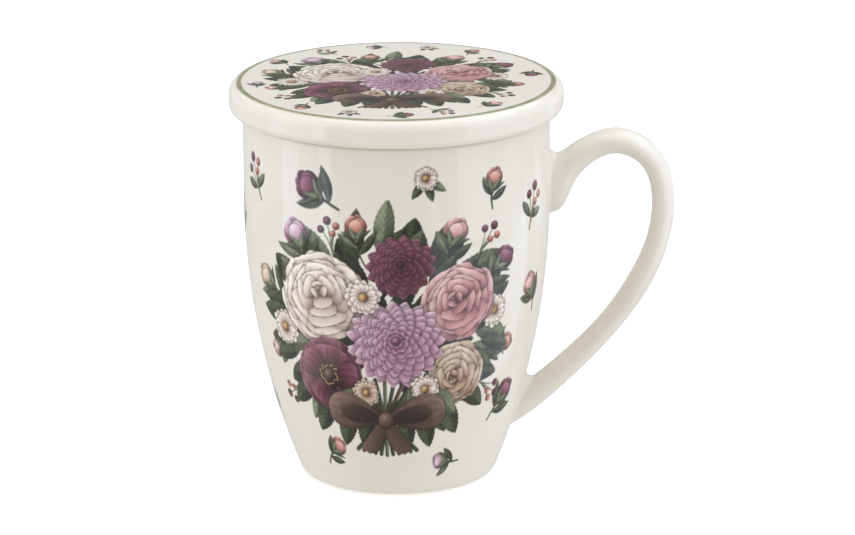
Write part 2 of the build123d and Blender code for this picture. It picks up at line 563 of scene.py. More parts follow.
# ---- Printed flowers -----------------------------------------------------------
class Ink(Enum):
    """Ceramic colours, each as a shadow, a body tone and a light."""

    MAUVE = ("#5A3247", "#B07A97", "#EBD3DF")
    CREAM = ("#7A5F4E", "#D3BFB0", "#F6EEE6")
    WINE = ("#27101B", "#6A2B42", "#B0708A")
    ROSE = ("#6B3A41", "#C1858A", "#F0CBC8")
    TAN = ("#60483A", "#BC9C7E", "#EAD9C2")
    GREEN = ("#1F241B", "#4D5941", "#8F9B7C")
    SAGE = ("#343C2C", "#727E5F", "#B1BA9B")
    BARK = ("#33231F", "#6B4F45", "#A98C7C")
    CORAL = ("#6A2B22", "#B8685A", "#E9B9A6")
    GOLD = ("#5B3A1E", "#B98A45", "#E9CF8F")

    def tone(self, value: Array) -> Array:
        """Colour for a tone from 0, the shadow, through 0.5, the body, to 1, the light."""
        low, body, high = (shares(code) for code in self.value)
        value = np.clip(value, 0, 1)[..., None]
        dark = low + (body - low) * np.minimum(value * 2, 1)
        return dark + (high - body) * np.maximum(value * 2 - 1, 0)


def ripple(value: Array, seed: float) -> Array:
    """Smooth uneven waves: three sines whose lengths share no whole ratio, within -1 and 1."""
    waves = ((0.5, 1.0, 3.1), (0.3, 2.3, 7.7), (0.2, 5.1, 1.0))
    return sum(height * np.sin(pace * value + start * seed) for height, pace, start in waves)


def fading(distance: Array, reach: float) -> Array:
    """Share that is 1 up to a line and fades beyond it: e^(-distance / reach)."""
    return np.exp(-np.maximum(distance, 0) / reach)


@dataclass(frozen=True)
class Blade:
    """Outline of a petal or a leaf: its half width along its length.

    The half width is width / 2 * s^belly * (1 - s^blunt)^point, brought to a peak of 1. A
    small belly gives a broad base, a large blunt puts the widest place near the tip, and a
    large point draws the tip out.
    """

    belly: float
    blunt: float
    point: float
    ruffle: float = 0.0
    teeth: float = 0.0

    def half(self, share: Array, length: float, width: float) -> Array:
        """Half width at shares of the length; negative past the tip and behind the base."""
        inside = np.clip(share, 1e-4, 1 - 1e-4)
        scan = np.linspace(0.01, 0.99, 99)
        peak = np.max(scan**self.belly * (1 - scan**self.blunt) ** self.point)
        shape = inside**self.belly * (1 - inside**self.blunt) ** self.point / peak
        outside = np.maximum(-share, 0) + np.maximum(share - 1, 0)
        return width / 2 * shape - outside * length * 3


ROUND_PETAL = Blade(0.55, 5.0, 0.5, 0.022)
CUPPED_PETAL = Blade(0.40, 7.0, 0.5, 0.016)
POINTED_PETAL = Blade(0.75, 2.6, 0.8)
SLIM_PETAL = Blade(0.5, 6.0, 0.6)
BUD_PETAL = Blade(0.5, 3.2, 0.62)
RIBBON_TAIL = Blade(0.3, 14.0, 0.5, 0.008)
RIBBON_LOOP = Blade(0.75, 3.0, 0.55, 0.01)
OVAL_LEAF = Blade(0.75, 1.5, 0.85, 0.0, 0.035)
LONG_LEAF = Blade(0.9, 1.15, 0.95)
SEPAL = Blade(0.6, 1.3, 1.1)


@dataclass(frozen=True)
class Stage:
    """Where a flower or a sprig lies on the sheet: middle, turn, size and foreshortening."""

    u: float = 0.0
    v: float = 0.0
    turn: float = 0.0
    scale: float = 1.0
    squash: float = 1.0


STILL = Stage()


@dataclass(frozen=True)
class Touch:
    """The patch of a sheet that one petal or leaf touches, in the blade's own terms."""

    rows: slice
    columns: slice
    share: Array  # along the blade, 0 at its base and 1 at its tip
    aside: Array  # distance from its middle line
    half: Array  # its half width there
    inside: Array  # millimetres inside its edge
    cover: Array
    to_side: float  # how much its left side and its tip face the light
    to_tip: float

    @property
    def span(self) -> Array:
        """Place across the blade, from -1 to 1 between its edges."""
        return np.clip(self.aside / np.maximum(self.half, 1e-3), -1, 1)


@dataclass
class Sheet:
    """A sheet of transfer print: colour and cover of the ink on a fine raster, in millimetres."""

    width: float
    height: float
    fineness: float = 11.0
    seed: int = 7
    light: Point = (-0.55, 0.83)
    crisp: float = 0.7  # how fast the cover rises over an edge, per dot
    shade_reach: float = 0.5  # how far a petal shades what lies round it
    warm_shade: str = "#2A1A1C"
    leaf_shade: str = "#1C211A"

    def __post_init__(self) -> None:
        """Lays out the raster, its places and a slow mottling of the colour."""
        columns, rows = int(self.width * self.fineness), int(self.height * self.fineness)
        self.u = (np.arange(columns) + 0.5) / self.fineness - self.width / 2
        self.v = (np.arange(rows) + 0.5) / self.fineness - self.height / 2
        self.ink = np.ones((rows, columns, 3))
        self.cover = np.zeros((rows, columns))
        self.mottle = self.clouds(1.6) * 0.6 + self.clouds(0.45) * 0.4

    def clouds(self, size: float) -> Array:
        """Smooth random field within about -1 and 1, with clouds of a size in millimetres."""
        chance = np.random.default_rng(self.seed)
        places = []
        for count, length in ((len(self.v), self.height), (len(self.u), self.width)):
            at = np.arange(count) / self.fineness / size
            places.append((at.astype(int), smooth_step(at % 1, 0, 1), int(length / size) + 2))
        (row, down, rows), (column, across, columns) = places
        knots = chance.uniform(-1, 1, (rows, columns))
        down, across = down[:, None], across[None, :]
        near = knots[row][:, column] * (1 - across) + knots[row][:, column + 1] * across
        far = knots[row + 1][:, column] * (1 - across) + knots[row + 1][:, column + 1] * across
        return near * (1 - down) + far * down

    def window(self, stage: Stage, middle: Point, reach: float) -> tuple[slice, slice, Array, Array]:
        """The part of the raster round a place, and its own coordinates there.

        The sheet's place is moved to the stage's middle, turned back, brought to its size and
        stretched back along the stage's own upright by its foreshortening.

        Args:
            stage: where the flower lies.
            middle: place in the flower's own coordinates.
            reach: distance from that place that has to be inside.

        Returns:
            Slices of rows and columns, and the flower's own coordinates across and up.
        """
        own_u, own_v = rotated(middle[0] * stage.scale, middle[1] * stage.scale * stage.squash, stage.turn)
        u0, v0 = stage.u + own_u, stage.v + own_v
        far = reach * stage.scale + 0.5
        columns = slice(*np.searchsorted(self.u, [u0 - far, u0 + far]))
        rows = slice(*np.searchsorted(self.v, [v0 - far, v0 + far]))
        across, up = rotated(self.u[None, columns] - stage.u, self.v[rows, None] - stage.v, -stage.turn)
        return rows, columns, across / stage.scale, up / (stage.scale * stage.squash)

    def lay(self, rows: slice, columns: slice, colour: Array, cover: Array) -> None:
        """Lays ink over what is there."""
        under = self.cover[rows, columns]
        total = cover + under * (1 - cover)
        safe = np.maximum(total, 1e-6)
        mixed = colour * cover[..., None] + self.ink[rows, columns] * (under * (1 - cover))[..., None]
        self.ink[rows, columns] = np.where(total[..., None] > 1e-6, mixed / safe[..., None], 1.0)
        self.cover[rows, columns] = total

    def darken(self, rows: slice, columns: slice, share: Array, shade: str) -> None:
        """Shades the ink that is already there, and leaves the bare glaze alone."""
        self.ink[rows, columns] += (shares(shade) - self.ink[rows, columns]) * share[..., None]

    def covered(self, inside: Array) -> Array:
        """Cover at a distance inside an edge: a step as soft as a dot of the raster."""
        return np.clip(inside * self.fineness * self.crisp + 0.5, 0, 1)

    def edge(self, inside: Array, scale: float) -> Array:
        """Distance in millimetres to the line where a field is 0: the field over its slope."""
        down, across = np.gradient(inside, 1 / self.fineness)
        return inside / np.maximum(np.hypot(down, across), 1e-3 / scale)

    def read(self, u: Array, v: Array, spread: float) -> Pair:
        """Colour and cover at places on the sheet, each the mean of nine readings.

        Args:
            u: places across.
            v: places up, in the same shape.
            spread: side of the square that the readings cover.

        Returns:
            Colours, weighed by their cover, and covers.
        """
        total = np.zeros((*u.shape, 3))
        weight = np.zeros(u.shape)
        offsets = np.array([-1, 0, 1]) * spread / 3
        for du in offsets:
            for dv in offsets:
                column = ((u + du + self.width / 2) * self.fineness).astype(int)
                row = ((v + dv + self.height / 2) * self.fineness).astype(int)
                inside = (column >= 0) & (column < len(self.u)) & (row >= 0) & (row < len(self.v))
                column, row = np.where(inside, column, 0), np.where(inside, row, 0)
                cover = self.cover[row, column] * inside
                total += self.ink[row, column] * cover[..., None]
                weight += cover
        return total / np.maximum(weight, 1e-6)[..., None], weight / 9

    def touch(
        self, stage: Stage, blade: Blade, base: Point, heading: float, length: float, width: float,
        bend: float, seed: float, reach: float, shadow: float, shade: str,
    ) -> Touch:
        """Finds what one petal or leaf covers, and shades the ink round it.

        The blade's middle line leaves the base at its heading and bends aside by bend *
        share^2 * length. Its ruffles and teeth are waves on its outline.

        Args:
            stage: where the flower lies.
            blade: the outline.
            base: where the blade starts, in the flower's own coordinates.
            heading: its direction in radians.
            length: its length.
            width: its greatest width.
            bend: how far its tip bends to the left, as a share of its length.
            seed: where its waves start.
            reach: distance from its middle that is painted.
            shadow: how strongly it shades the ink round it.
            shade: colour of that shadow.

        Returns:
            The patch that it touches.
        """
        middle = tuple(base + polar(0.5 * length, heading))
        rows, columns, across, up = self.window(stage, middle, reach)
        along, aside = rotated(across - base[0], up - base[1], -heading)
        share = along / length
        aside = aside - bend * share**2 * length
        share = share * (1 + blade.ruffle * ripple(aside / width * 9, seed + 0.3))
        waves = blade.teeth * np.sin(share * 70 + seed) + blade.ruffle * ripple(share * 11, seed)
        half = blade.half(share, length, width) * (1 + waves)
        inside = self.edge(half - np.abs(aside), stage.scale)
        cover = self.covered(inside)
        beside = np.abs(aside) - blade.half(np.clip(share, 0.1, 0.9), length, width)
        halo = fading(-inside, self.shade_reach) * fading(beside, self.shade_reach)
        self.darken(rows, columns, shadow * halo * (1 - cover), shade)
        to_tip, to_side = rotated(*self.light, -stage.turn - heading)
        return Touch(rows, columns, share, aside, half, inside, cover, to_side, to_tip)

    def petal(
        self, stage: Stage, blade: Blade, ink: Ink, base: Point, heading: float, length: float,
        width: float, low: float = 0.25, high: float = 0.8, cup: float = 0.35, crease: float = 0.0,
        veins: float = 0.07, lip: float = 0.25, bend: float = 0.0, shadow: float = 0.55, seed: float = 0.0,
    ) -> None:
        """Paints one petal.

        Its tone rises from low at the base to high at the tip. The petal is cupped, so its
        surface faces sideways in proportion to the distance from its middle line, and the
        light from the upper left makes one side paler. Fine veins fan out along it, its lip
        catches light, and it shades the ink round it.
        """
        reach = length * 1.15 + width * 0.6
        found = self.touch(
            stage, blade, base, heading, length, width, bend, seed, reach * 0.75, shadow, self.warm_shade
        )
        span, share = found.span, np.clip(found.share, 0, 1)
        tone = low + (high - low) * share**0.9
        tone += cup * 0.5 * (span * found.to_side + (share - 0.45) * 0.9 * found.to_tip)
        tone -= cup * 0.22 * np.abs(span) ** 3
        tone -= crease * np.exp(-((span / 0.16) ** 2)) * (1 - share * 0.6)
        tone += veins * ripple(span * 13, seed + 1.7) * (0.35 + 0.65 * share)
        tone += lip * fading(found.inside, 0.22) * smooth_step(share, 0.45, 0.95)
        tone -= 0.16 * fading(found.inside, 0.13) * (1 - smooth_step(share, 0.35, 0.8))
        tone += 0.06 * self.mottle[found.rows, found.columns]
        self.lay(found.rows, found.columns, ink.tone(tone), found.cover)

    def leaf(
        self, stage: Stage, ink: Ink, base: Point, heading: float, length: float, width: float,
        blade: Blade = OVAL_LEAF, bend: float = 0.0, tone: float = 0.45, seed: float = 0.0,
        shadow: float = 0.5,
    ) -> None:
        """Paints one leaf: two halves that take the light differently, a pale midrib, and side
        veins that slant forward from it."""
        reach = length * 0.62 + width * 0.5 + abs(bend) * length
        found = self.touch(
            stage, blade, base, heading, length, width, bend, seed, reach, shadow, self.leaf_shade
        )
        span, share = found.span, found.share
        value = tone + 0.16 * np.sign(found.to_side) * np.tanh(span * 6) + 0.10 * (share - 0.5)
        value += 0.10 * ripple(share * 6 + seed, seed)
        slant = (np.clip(share, 0, 1) * 9 - np.abs(span) * 1.6) % 1
        broad = found.half > 0.6
        value += 0.15 * np.exp(-(((slant - 0.5) / 0.16) ** 2)) * (1 - np.abs(span)) * broad
        value -= 0.10 * np.exp(-(((slant - 0.2) / 0.2) ** 2)) * broad
        value += 0.30 * np.exp(-((found.aside / 0.14) ** 2)) * (1 - share)
        value -= 0.12 * fading(found.inside, 0.2)
        value += 0.08 * self.mottle[found.rows, found.columns]
        self.lay(found.rows, found.columns, ink.tone(value), found.cover)

    def ball(
        self, stage: Stage, ink: Ink, place: Point, radius: float, low: float = 0.1, high: float = 0.85
    ) -> None:
        """Paints a berry or a flower's eye as a lit ball."""
        rows, columns, across, up = self.window(stage, place, radius * 1.6)
        du, dv = (across - place[0]) / radius, (up - place[1]) / radius
        far = np.hypot(du, dv)
        inside = (1 - far) * radius * stage.scale
        cover = self.covered(inside)
        self.darken(rows, columns, 0.5 * fading(-inside, 0.3) * (1 - cover), self.warm_shade)
        facing = 0.6 * (du * self.light[0] + dv * self.light[1]) + 0.7 * np.sqrt(np.maximum(1 - far**2, 0))
        spot = np.exp(-((du - 0.35 * self.light[0]) ** 2 + (dv - 0.35 * self.light[1]) ** 2) / 0.05)
        self.lay(rows, columns, ink.tone(low + (high - low) * facing + 0.25 * spot), cover)

    def stem(
        self, stage: Stage, ink: Ink, start: Point, pull: Point, end: Point,
        thick: float = 0.8, thin: float = 0.4, tone: float = 0.5,
    ) -> None:
        """Paints a stem along a curve with one pull point.

        The distance of a place from the stem is that to the nearest of many points on it.
        """
        count = 110
        ends = (np.array(point, float) for point in (start, pull, end))
        path = conic(*ends, 1.0, np.linspace(0, 1, count)[:, None])
        low, high = path.min(axis=0), path.max(axis=0)
        reach = float(np.max(high - low)) / 2 * 1.3 + 1.5
        rows, columns, across, up = self.window(stage, tuple((low + high) / 2), reach)
        nearest = np.full(np.broadcast(across, up).shape, 1e9)
        place, side = np.zeros_like(nearest), np.zeros_like(nearest)
        for index, (point, way) in enumerate(zip(path, unit(np.gradient(path, axis=0)))):
            du, dv = across - point[0], up - point[1]
            gap = du * du + dv * dv
            closer = gap < nearest
            nearest = np.where(closer, gap, nearest)
            place = np.where(closer, index / (count - 1), place)
            side = np.where(closer, way[0] * dv - way[1] * du, side)
        half = (thick + (thin - thick) * place) / 2
        inside = (half - np.sqrt(nearest)) * stage.scale
        cover = self.covered(inside)
        self.darken(rows, columns, 0.4 * fading(-inside, 0.3) * (1 - cover), self.warm_shade)
        lit = tone + 0.3 * np.clip(side / half, -1, 1)
        self.lay(rows, columns, ink.tone(lit + 0.08 * self.mottle[rows, columns]), cover)


@dataclass(frozen=True)
class Bloom:
    """A flower: where it lies, its ink, its radius in millimetres and its own seed."""

    stage: Stage
    ink: Ink
    radius: float
    seed: int


@dataclass(frozen=True)
class Rose(Bloom):
    """A full garden rose: rings of broad cupped petals that close in on the heart."""

    rings: int = 6
    glow: float = 0.0

    def paint(self, sheet: Sheet) -> None:
        """Paints the rings from the outside in; each ring shades the one under it."""
        chance = np.random.default_rng(self.seed)
        for ring in range(self.rings):
            share = ring / self.rings
            size = self.radius * (1 - share) ** 0.9
            count = max(3, 7 - ring)
            first = chance.uniform(0, TURN)
            lift = self.radius * 0.22 * share
            for index in chance.permutation(count):
                heading = first + TURN * index / count + chance.uniform(-0.14, 0.14)
                length = size * chance.uniform(0.94, 1.05)
                sheet.petal(
                    self.stage, ROUND_PETAL if ring < 2 else CUPPED_PETAL, self.ink,
                    (-0.08 * size * np.cos(heading), lift - 0.08 * size * np.sin(heading)), heading,
                    length * 1.06, length * (1.28 + 0.10 * chance.uniform(-1, 1)), low=0.02 + self.glow,
                    high=0.84 - 0.14 * share + self.glow, cup=0.55, veins=0.035, lip=0.18,
                    seed=chance.uniform(0, 9),
                )
        sheet.ball(self.stage, self.ink, (0, self.radius * 0.22), self.radius * 0.05, -0.1, 0.4)


@dataclass(frozen=True)
class Dahlia(Bloom):
    """A dahlia: many rings of narrow pointed petals, each folded along its middle."""

    rings: int = 8
    count: int = 17

    def paint(self, sheet: Sheet) -> None:
        """Paints the rings from the outside in."""
        chance = np.random.default_rng(self.seed)
        for ring in range(self.rings):
            share = ring / self.rings
            size = self.radius * (1 - share) ** 0.95 + 0.5
            count = max(7, int(self.count - ring * 1.2))
            for index in range(count):
                heading = TURN * (index + 0.5 * (ring % 2)) / count + chance.uniform(-0.05, 0.05)
                sheet.petal(
                    self.stage, POINTED_PETAL, self.ink, (0.0, self.radius * 0.06 * share), heading,
                    size * chance.uniform(0.94, 1.04), TURN * size / count * 1.12,
                    low=0.02 + 0.04 * (1 - share), high=0.80 - 0.12 * share, cup=0.30, crease=0.14,
                    veins=0.05, lip=0.16, shadow=0.40, seed=chance.uniform(0, 9),
                )
        sheet.ball(self.stage, self.ink, (0, self.radius * 0.06), self.radius * 0.09, 0.0, 0.5)


@dataclass(frozen=True)
class Anemone(Bloom):
    """An open flower: two rings of broad petals round a dark eye with a ring of stamens."""

    count: int = 7
    stamens: int = 26

    def paint(self, sheet: Sheet) -> None:
        """Paints back ring, front ring, stamens and eye."""
        chance = np.random.default_rng(self.seed)
        for ring, size in enumerate((1.0, 0.86)):
            for index in chance.permutation(self.count):
                heading = TURN * (index + 0.5 * ring) / self.count + chance.uniform(-0.1, 0.1)
                length = self.radius * size * chance.uniform(0.94, 1.05)
                sheet.petal(
                    self.stage, ROUND_PETAL, self.ink, (0.0, 0.0), heading, length, length * 0.98,
                    low=0.05, high=0.72 + 0.08 * ring, cup=0.5, veins=0.13, lip=0.2, shadow=0.45,
                    seed=chance.uniform(0, 9),
                )
        for index in range(self.stamens):
            angle = TURN * index / self.stamens + chance.uniform(-0.1, 0.1)
            place = polar(self.radius * chance.uniform(0.20, 0.30), angle)
            sheet.ball(self.stage, Ink.GOLD, place, self.radius * 0.03, 0.2, 0.9)
        sheet.ball(self.stage, Ink.BARK, (0, 0), self.radius * 0.15, 0.05, 0.7)


@dataclass(frozen=True)
class Aster(Bloom):
    """A small daisy-like flower with slim petals and a golden eye."""

    count: int = 15

    def paint(self, sheet: Sheet) -> None:
        """Paints two rings of slim petals and the eye."""
        chance = np.random.default_rng(self.seed)
        for ring, size in enumerate((1.0, 0.78)):
            for index in range(self.count):
                heading = TURN * (index + 0.5 * ring) / self.count + chance.uniform(-0.06, 0.06)
                length = self.radius * size * chance.uniform(0.9, 1.05)
                sheet.petal(
                    self.stage, SLIM_PETAL, self.ink, (0.0, 0.0), heading, length,
                    TURN * length / self.count * 0.95, low=0.25, high=0.92, cup=0.25, veins=0.03,
                    lip=0.12, shadow=0.35, seed=chance.uniform(0, 9),
                )
        sheet.ball(self.stage, Ink.GOLD, (0, 0), self.radius * 0.24, 0.15, 0.8)


@dataclass(frozen=True)
class Bud(Bloom):
    """A closed bud on its own stem, upright in its own coordinates, held by sepals."""

    stem: float = 0.0
    leaves: int = 2

    def paint(self, sheet: Sheet) -> None:
        """Paints stem, leaves, back petals, front petals and sepals."""
        chance = np.random.default_rng(self.seed)
        size, up = self.radius, np.pi / 2
        sway = chance.uniform(-0.25, 0.25) * self.stem
        foot, pull = (sway, -self.stem), (-sway * 0.3, -self.stem * 0.4)
        sheet.stem(self.stage, Ink.GREEN, foot, pull, (0, 0.1), 0.55, 0.7)
        for index in range(self.leaves):
            side = 1 if index % 2 else -1
            low = -self.stem * (0.25 + 0.5 * index / self.leaves)
            heading = up - side * chance.uniform(0.7, 1.1)
            sheet.leaf(
                self.stage, Ink.GREEN if index % 2 else Ink.SAGE, (0.0, low), heading,
                size * chance.uniform(0.85, 1.15), size * 0.34, LONG_LEAF, 0.15 * side,
                seed=chance.uniform(0, 9),
            )
        for lean, length, low, high in (
            (0.42, 0.90, 0.12, 0.55), (-0.42, 0.90, 0.12, 0.60), (0.14, 1.02, 0.18, 0.66),
            (-0.20, 0.98, 0.25, 0.78), (0.24, 0.88, 0.28, 0.86), (-0.03, 0.80, 0.35, 0.95),
        ):
            sheet.petal(
                self.stage, BUD_PETAL, self.ink, (-0.16 * size * np.sin(lean), 0.0),
                up - lean + chance.uniform(-0.04, 0.04), size * length, size * 0.52, low=low, high=high,
                cup=0.45, veins=0.05, lip=0.22, shadow=0.45, seed=chance.uniform(0, 9),
            )
        for lean, length, ink in (
            (-0.75, 0.72, Ink.GREEN), (0.7, 0.72, Ink.GREEN), (-0.25, 0.62, Ink.SAGE), (0.3, 0.62, Ink.SAGE)
        ):
            sheet.leaf(
                self.stage, ink, (0.0, -0.02 * size), up - lean, size * length, size * 0.2, SEPAL,
                -0.25 * np.sign(lean), 0.5, chance.uniform(0, 9), 0.35,
            )
        sheet.ball(self.stage, Ink.GREEN, (0, -0.02 * size), size * 0.09, 0.25, 0.7)


def paint_berries(sheet: Sheet, stage: Stage) -> None:
    """Paints a forked twig of berries."""
    for place, size in (((-2.2, 2.4), 1.15), ((0.2, 4.6), 1.3), ((2.6, 2.8), 1.1), ((1.2, 0.8), 0.95)):
        sheet.stem(stage, Ink.SAGE, (0.0, -6.0), (0.2, -1.0), place, 0.5, 0.3)
        sheet.ball(stage, Ink.WINE if size > 1.1 else Ink.CORAL, place, size, 0.1, 0.8)


@dataclass(frozen=True)
class Posy:
    """A hand-tied posy: mixed blooms over leaves, with tied stems and a ribbon below."""

    width: float = 92.0
    height: float = 77.0
    seed: int = 11
    face: float = 0.95  # foreshortening of the blooms

    def leaves(self, sheet: Sheet) -> None:
        """Paints the collar of leaves that stands out behind the blooms."""
        chance = np.random.default_rng(self.seed)
        rings = ((24, 16, 20), (19, 15, 17), (11, 14, 14), (3, 13, 9))
        for ring, (reach, length, count) in enumerate(rings):
            for index in range(count):
                angle = -0.36 * np.pi + 1.72 * np.pi * (index + 0.5 * (ring % 2)) / count
                sheet.leaf(
                    STILL, chance.choice([Ink.GREEN, Ink.GREEN, Ink.SAGE]),
                    (reach * 1.12 * np.cos(angle), reach * 0.84 * np.sin(angle) + 1),
                    angle + chance.uniform(-0.35, 0.35), length * chance.uniform(0.8, 1.15),
                    length * chance.uniform(0.34, 0.46), OVAL_LEAF if chance.uniform() < 0.7 else LONG_LEAF,
                    chance.uniform(-0.18, 0.18), chance.uniform(0.30, 0.5) - 0.06 * ring,
                    chance.uniform(0, 9),
                )

    def sprays(self, sheet: Sheet) -> None:
        """Paints the buds and berries that reach past the blooms."""
        for u, v, turn, ink, size, stem in (
            (-24.0, 22.0, 0.45, Ink.MAUVE, 9.5, 9.0), (-7.0, 26.5, 0.10, Ink.CORAL, 7.5, 8.0),
            (19.0, 24.5, -0.35, Ink.ROSE, 8.5, 9.0), (33.5, 16.0, -0.85, Ink.WINE, 8.0, 9.0),
            (-36.0, 9.0, 1.05, Ink.TAN, 8.5, 8.0), (37.0, -7.0, -1.45, Ink.CORAL, 6.5, 8.0),
            (-35.5, -9.0, 1.75, Ink.ROSE, 6.5, 8.0),
        ):
            Bud(Stage(u, v, turn), ink, size, int(size * 10 + abs(u)), stem).paint(sheet)
        for place in ((-15.0, 27.0, 0.2), (30.0, 25.0, -0.6), (35.0, -19.0, -2.1), (-33.0, -21.0, 2.0)):
            paint_berries(sheet, Stage(*place))

    def stems(self, sheet: Sheet) -> None:
        """Paints the bunch of stems that crosses at the tie."""
        for side in (-1, 1):
            for u, v, lean, size in (
                (17, -19, 0.55, 15), (11, -21, 0.30, 15), (23, -15, 0.85, 14), (6, -22, 0.12, 14)
            ):
                way = -np.pi / 2 + side * lean
                foot = (side * u, v)
                sheet.leaf(STILL, Ink.GREEN, foot, way, size, size * 0.44, tone=0.36, seed=u + side)
        for index, start in enumerate(np.linspace(-15, 15, 11)):
            ink = (Ink.GREEN, Ink.SAGE, Ink.GREEN, Ink.BARK)[index % 4]
            foot = (-start * 0.72, -37.5 + 0.10 * abs(start))
            sheet.stem(STILL, ink, (start, -14.0), (start * 0.02, -27.0), foot, 1.3, 1.5, 0.42)

    def ribbon(self, sheet: Sheet) -> None:
        """Paints the ribbon: tails, two loops with their dark insides, and the knot."""
        for side in (-1, 1):
            sheet.petal(
                STILL, RIBBON_TAIL, Ink.BARK, (side * 0.4, -26.0), -np.pi / 2 + side * 0.32, 12.5, 6.2,
                low=0.28, high=0.6, cup=0.55, veins=0.10, lip=0.1, bend=side * 0.25, seed=5.0 + side,
            )
        for side in (-1, 1):
            for length, width, low, high in ((19.5, 11.5, 0.25, 0.72), (14.5, 5.2, -0.15, 0.28)):
                sheet.petal(
                    STILL, RIBBON_LOOP, Ink.BARK, (side * 0.5, -26.5), np.pi / 2 - side * 1.35, length,
                    width, low=low, high=high, cup=0.4, veins=0.12, lip=0.15, bend=-0.05 * side,
                    seed=3.0 + side,
                )
        sheet.ball(STILL, Ink.BARK, (0.0, -26.5), 2.5, 0.25, 0.75)

    def blooms(self, sheet: Sheet) -> None:
        """Paints the blooms, the outer ones first, with leaves tucked in between."""

        def flat(u: float, v: float, turn: float, squash: float = self.face) -> Stage:
            """Stage of a bloom that is seen a little from the side."""
            return Stage(u, v, turn, 1.0, squash)

        Dahlia(flat(5.0, 19.5, 0.2), Ink.WINE, 9.5, 21, rings=7, count=15).paint(sheet)
        Aster(Stage(-33.0, -2.0, 0.1), Ink.CREAM, 5.4, 22).paint(sheet)
        Aster(Stage(34.0, 4.0, 0.4), Ink.CREAM, 5.0, 23).paint(sheet)
        for u, v, heading, length in (
            (-9, 12, 1.9, 12), (14, 12, 1.0, 12), (30, -4, -0.3, 11), (-28, -8, 3.4, 11)
        ):
            sheet.leaf(STILL, Ink.GREEN, (u, v), heading, length, length * 0.42, tone=0.4, seed=u)
        Rose(flat(22.0, 8.0, 0.9), Ink.ROSE, 11.5, 24).paint(sheet)
        Rose(flat(-18.5, 9.0, 0.2), Ink.CREAM, 13.5, 25, glow=0.03).paint(sheet)
        Rose(flat(22.5, -13.0, 2.1), Ink.TAN, 9.6, 26).paint(sheet)
        Anemone(flat(-18.0, -13.5, 0.3), Ink.WINE, 11.5, 27).paint(sheet)
        for u, v, heading, length in (
            (-3, -14, 4.3, 13), (8, -15, 5.0, 13), (-9, -17, 3.9, 12), (15, -17, 5.5, 12)
        ):
            sheet.leaf(STILL, Ink.SAGE, (u, v), heading, length, length * 0.45, tone=0.42, seed=v + u)
        Dahlia(flat(3.5, -3.0, 0.0, 0.94), Ink.MAUVE, 13.8, 28, rings=9, count=19).paint(sheet)
        Aster(Stage(-5.5, 10.5, 0.7), Ink.CREAM, 5.2, 29).paint(sheet)
        Aster(Stage(12.5, -17.0, 0.2), Ink.CREAM, 4.6, 30).paint(sheet)
        Aster(Stage(-6.0, -18.0, 0.5), Ink.TAN, 4.4, 31).paint(sheet)

    def paint(self) -> Sheet:
        """The finished sheet."""
        sheet = Sheet(self.width, self.height)
        for layer in (self.leaves, self.sprays, self.stems, self.blooms, self.ribbon):
            layer(sheet)
        return sheet


class Sprig(Enum):
    """The small motifs that are scattered round the posy."""

    MAUVE_BUD = 0
    CORAL_BUD = 1
    WINE_BUD = 2
    ROSE_BUD = 3
    ASTER = 4
    BERRIES = 5

    def paint(self) -> Sheet:
        """The sprig on a small sheet of its own."""
        sheet = Sheet(SPRIG_SIZE, SPRIG_SIZE, seed=self.value + 1)
        if self is Sprig.ASTER:
            for heading, ink in ((3.9, Ink.GREEN), (5.5, Ink.SAGE), (4.8, Ink.GREEN)):
                sheet.leaf(STILL, ink, (0.0, 1.0), heading, 6.5, 2.5, LONG_LEAF, seed=heading)
            Aster(Stage(0.0, 1.2), Ink.CREAM, 3.6, 41).paint(sheet)
        elif self is Sprig.BERRIES:
            for heading, ink in ((2.6, Ink.GREEN), (0.6, Ink.SAGE)):
                sheet.leaf(STILL, ink, (0.0, -3.0), heading, 5.5, 2.3, seed=heading)
            paint_berries(sheet, Stage(0.0, 0.0, 0.15))
        else:
            ink = (Ink.MAUVE, Ink.CORAL, Ink.WINE, Ink.ROSE)[self.value]
            Bud(Stage(0.0, -0.6, 0.1), ink, 5.6 + 0.5 * self.value, 50 + self.value, 4.2).paint(sheet)
        return sheet


# ---- Pieces --------------------------------------------------------------------
def shown(name: str, data: bpy.types.ID) -> bpy.types.Object:
    """A new object in the scene."""
    made = bpy.data.objects.new(name, data)
    bpy.context.scene.collection.objects.link(made)
    return made


def make_piece(
    name: str, surface: Surface, material: Material, body: str, stands_for: tuple[str, ...] = ()
) -> bpy.types.Object:
    """Makes a mesh object from a surface, dresses it and rides it on a body.

    Args:
        name: name of the piece.
        surface: points in millimetres, and faces.
        material: what the piece is made of.
        body: the body that it moves with.
        stands_for: the nodes that it replaces.

    Returns:
        The new object.
    """
    mesh = bpy.data.meshes.new(name)
    mesh.from_pydata((surface.points * MM).tolist(), [], surface.faces)
    mesh.update()
    mesh.shade_smooth()
    mesh.materials.append(material)
    piece = shown(name, mesh)
    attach(piece, body)
    if stands_for:
        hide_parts(*stands_for)
    log.info("%s: %d points, %d faces", name, len(surface.points), len(surface.faces))
    return piece


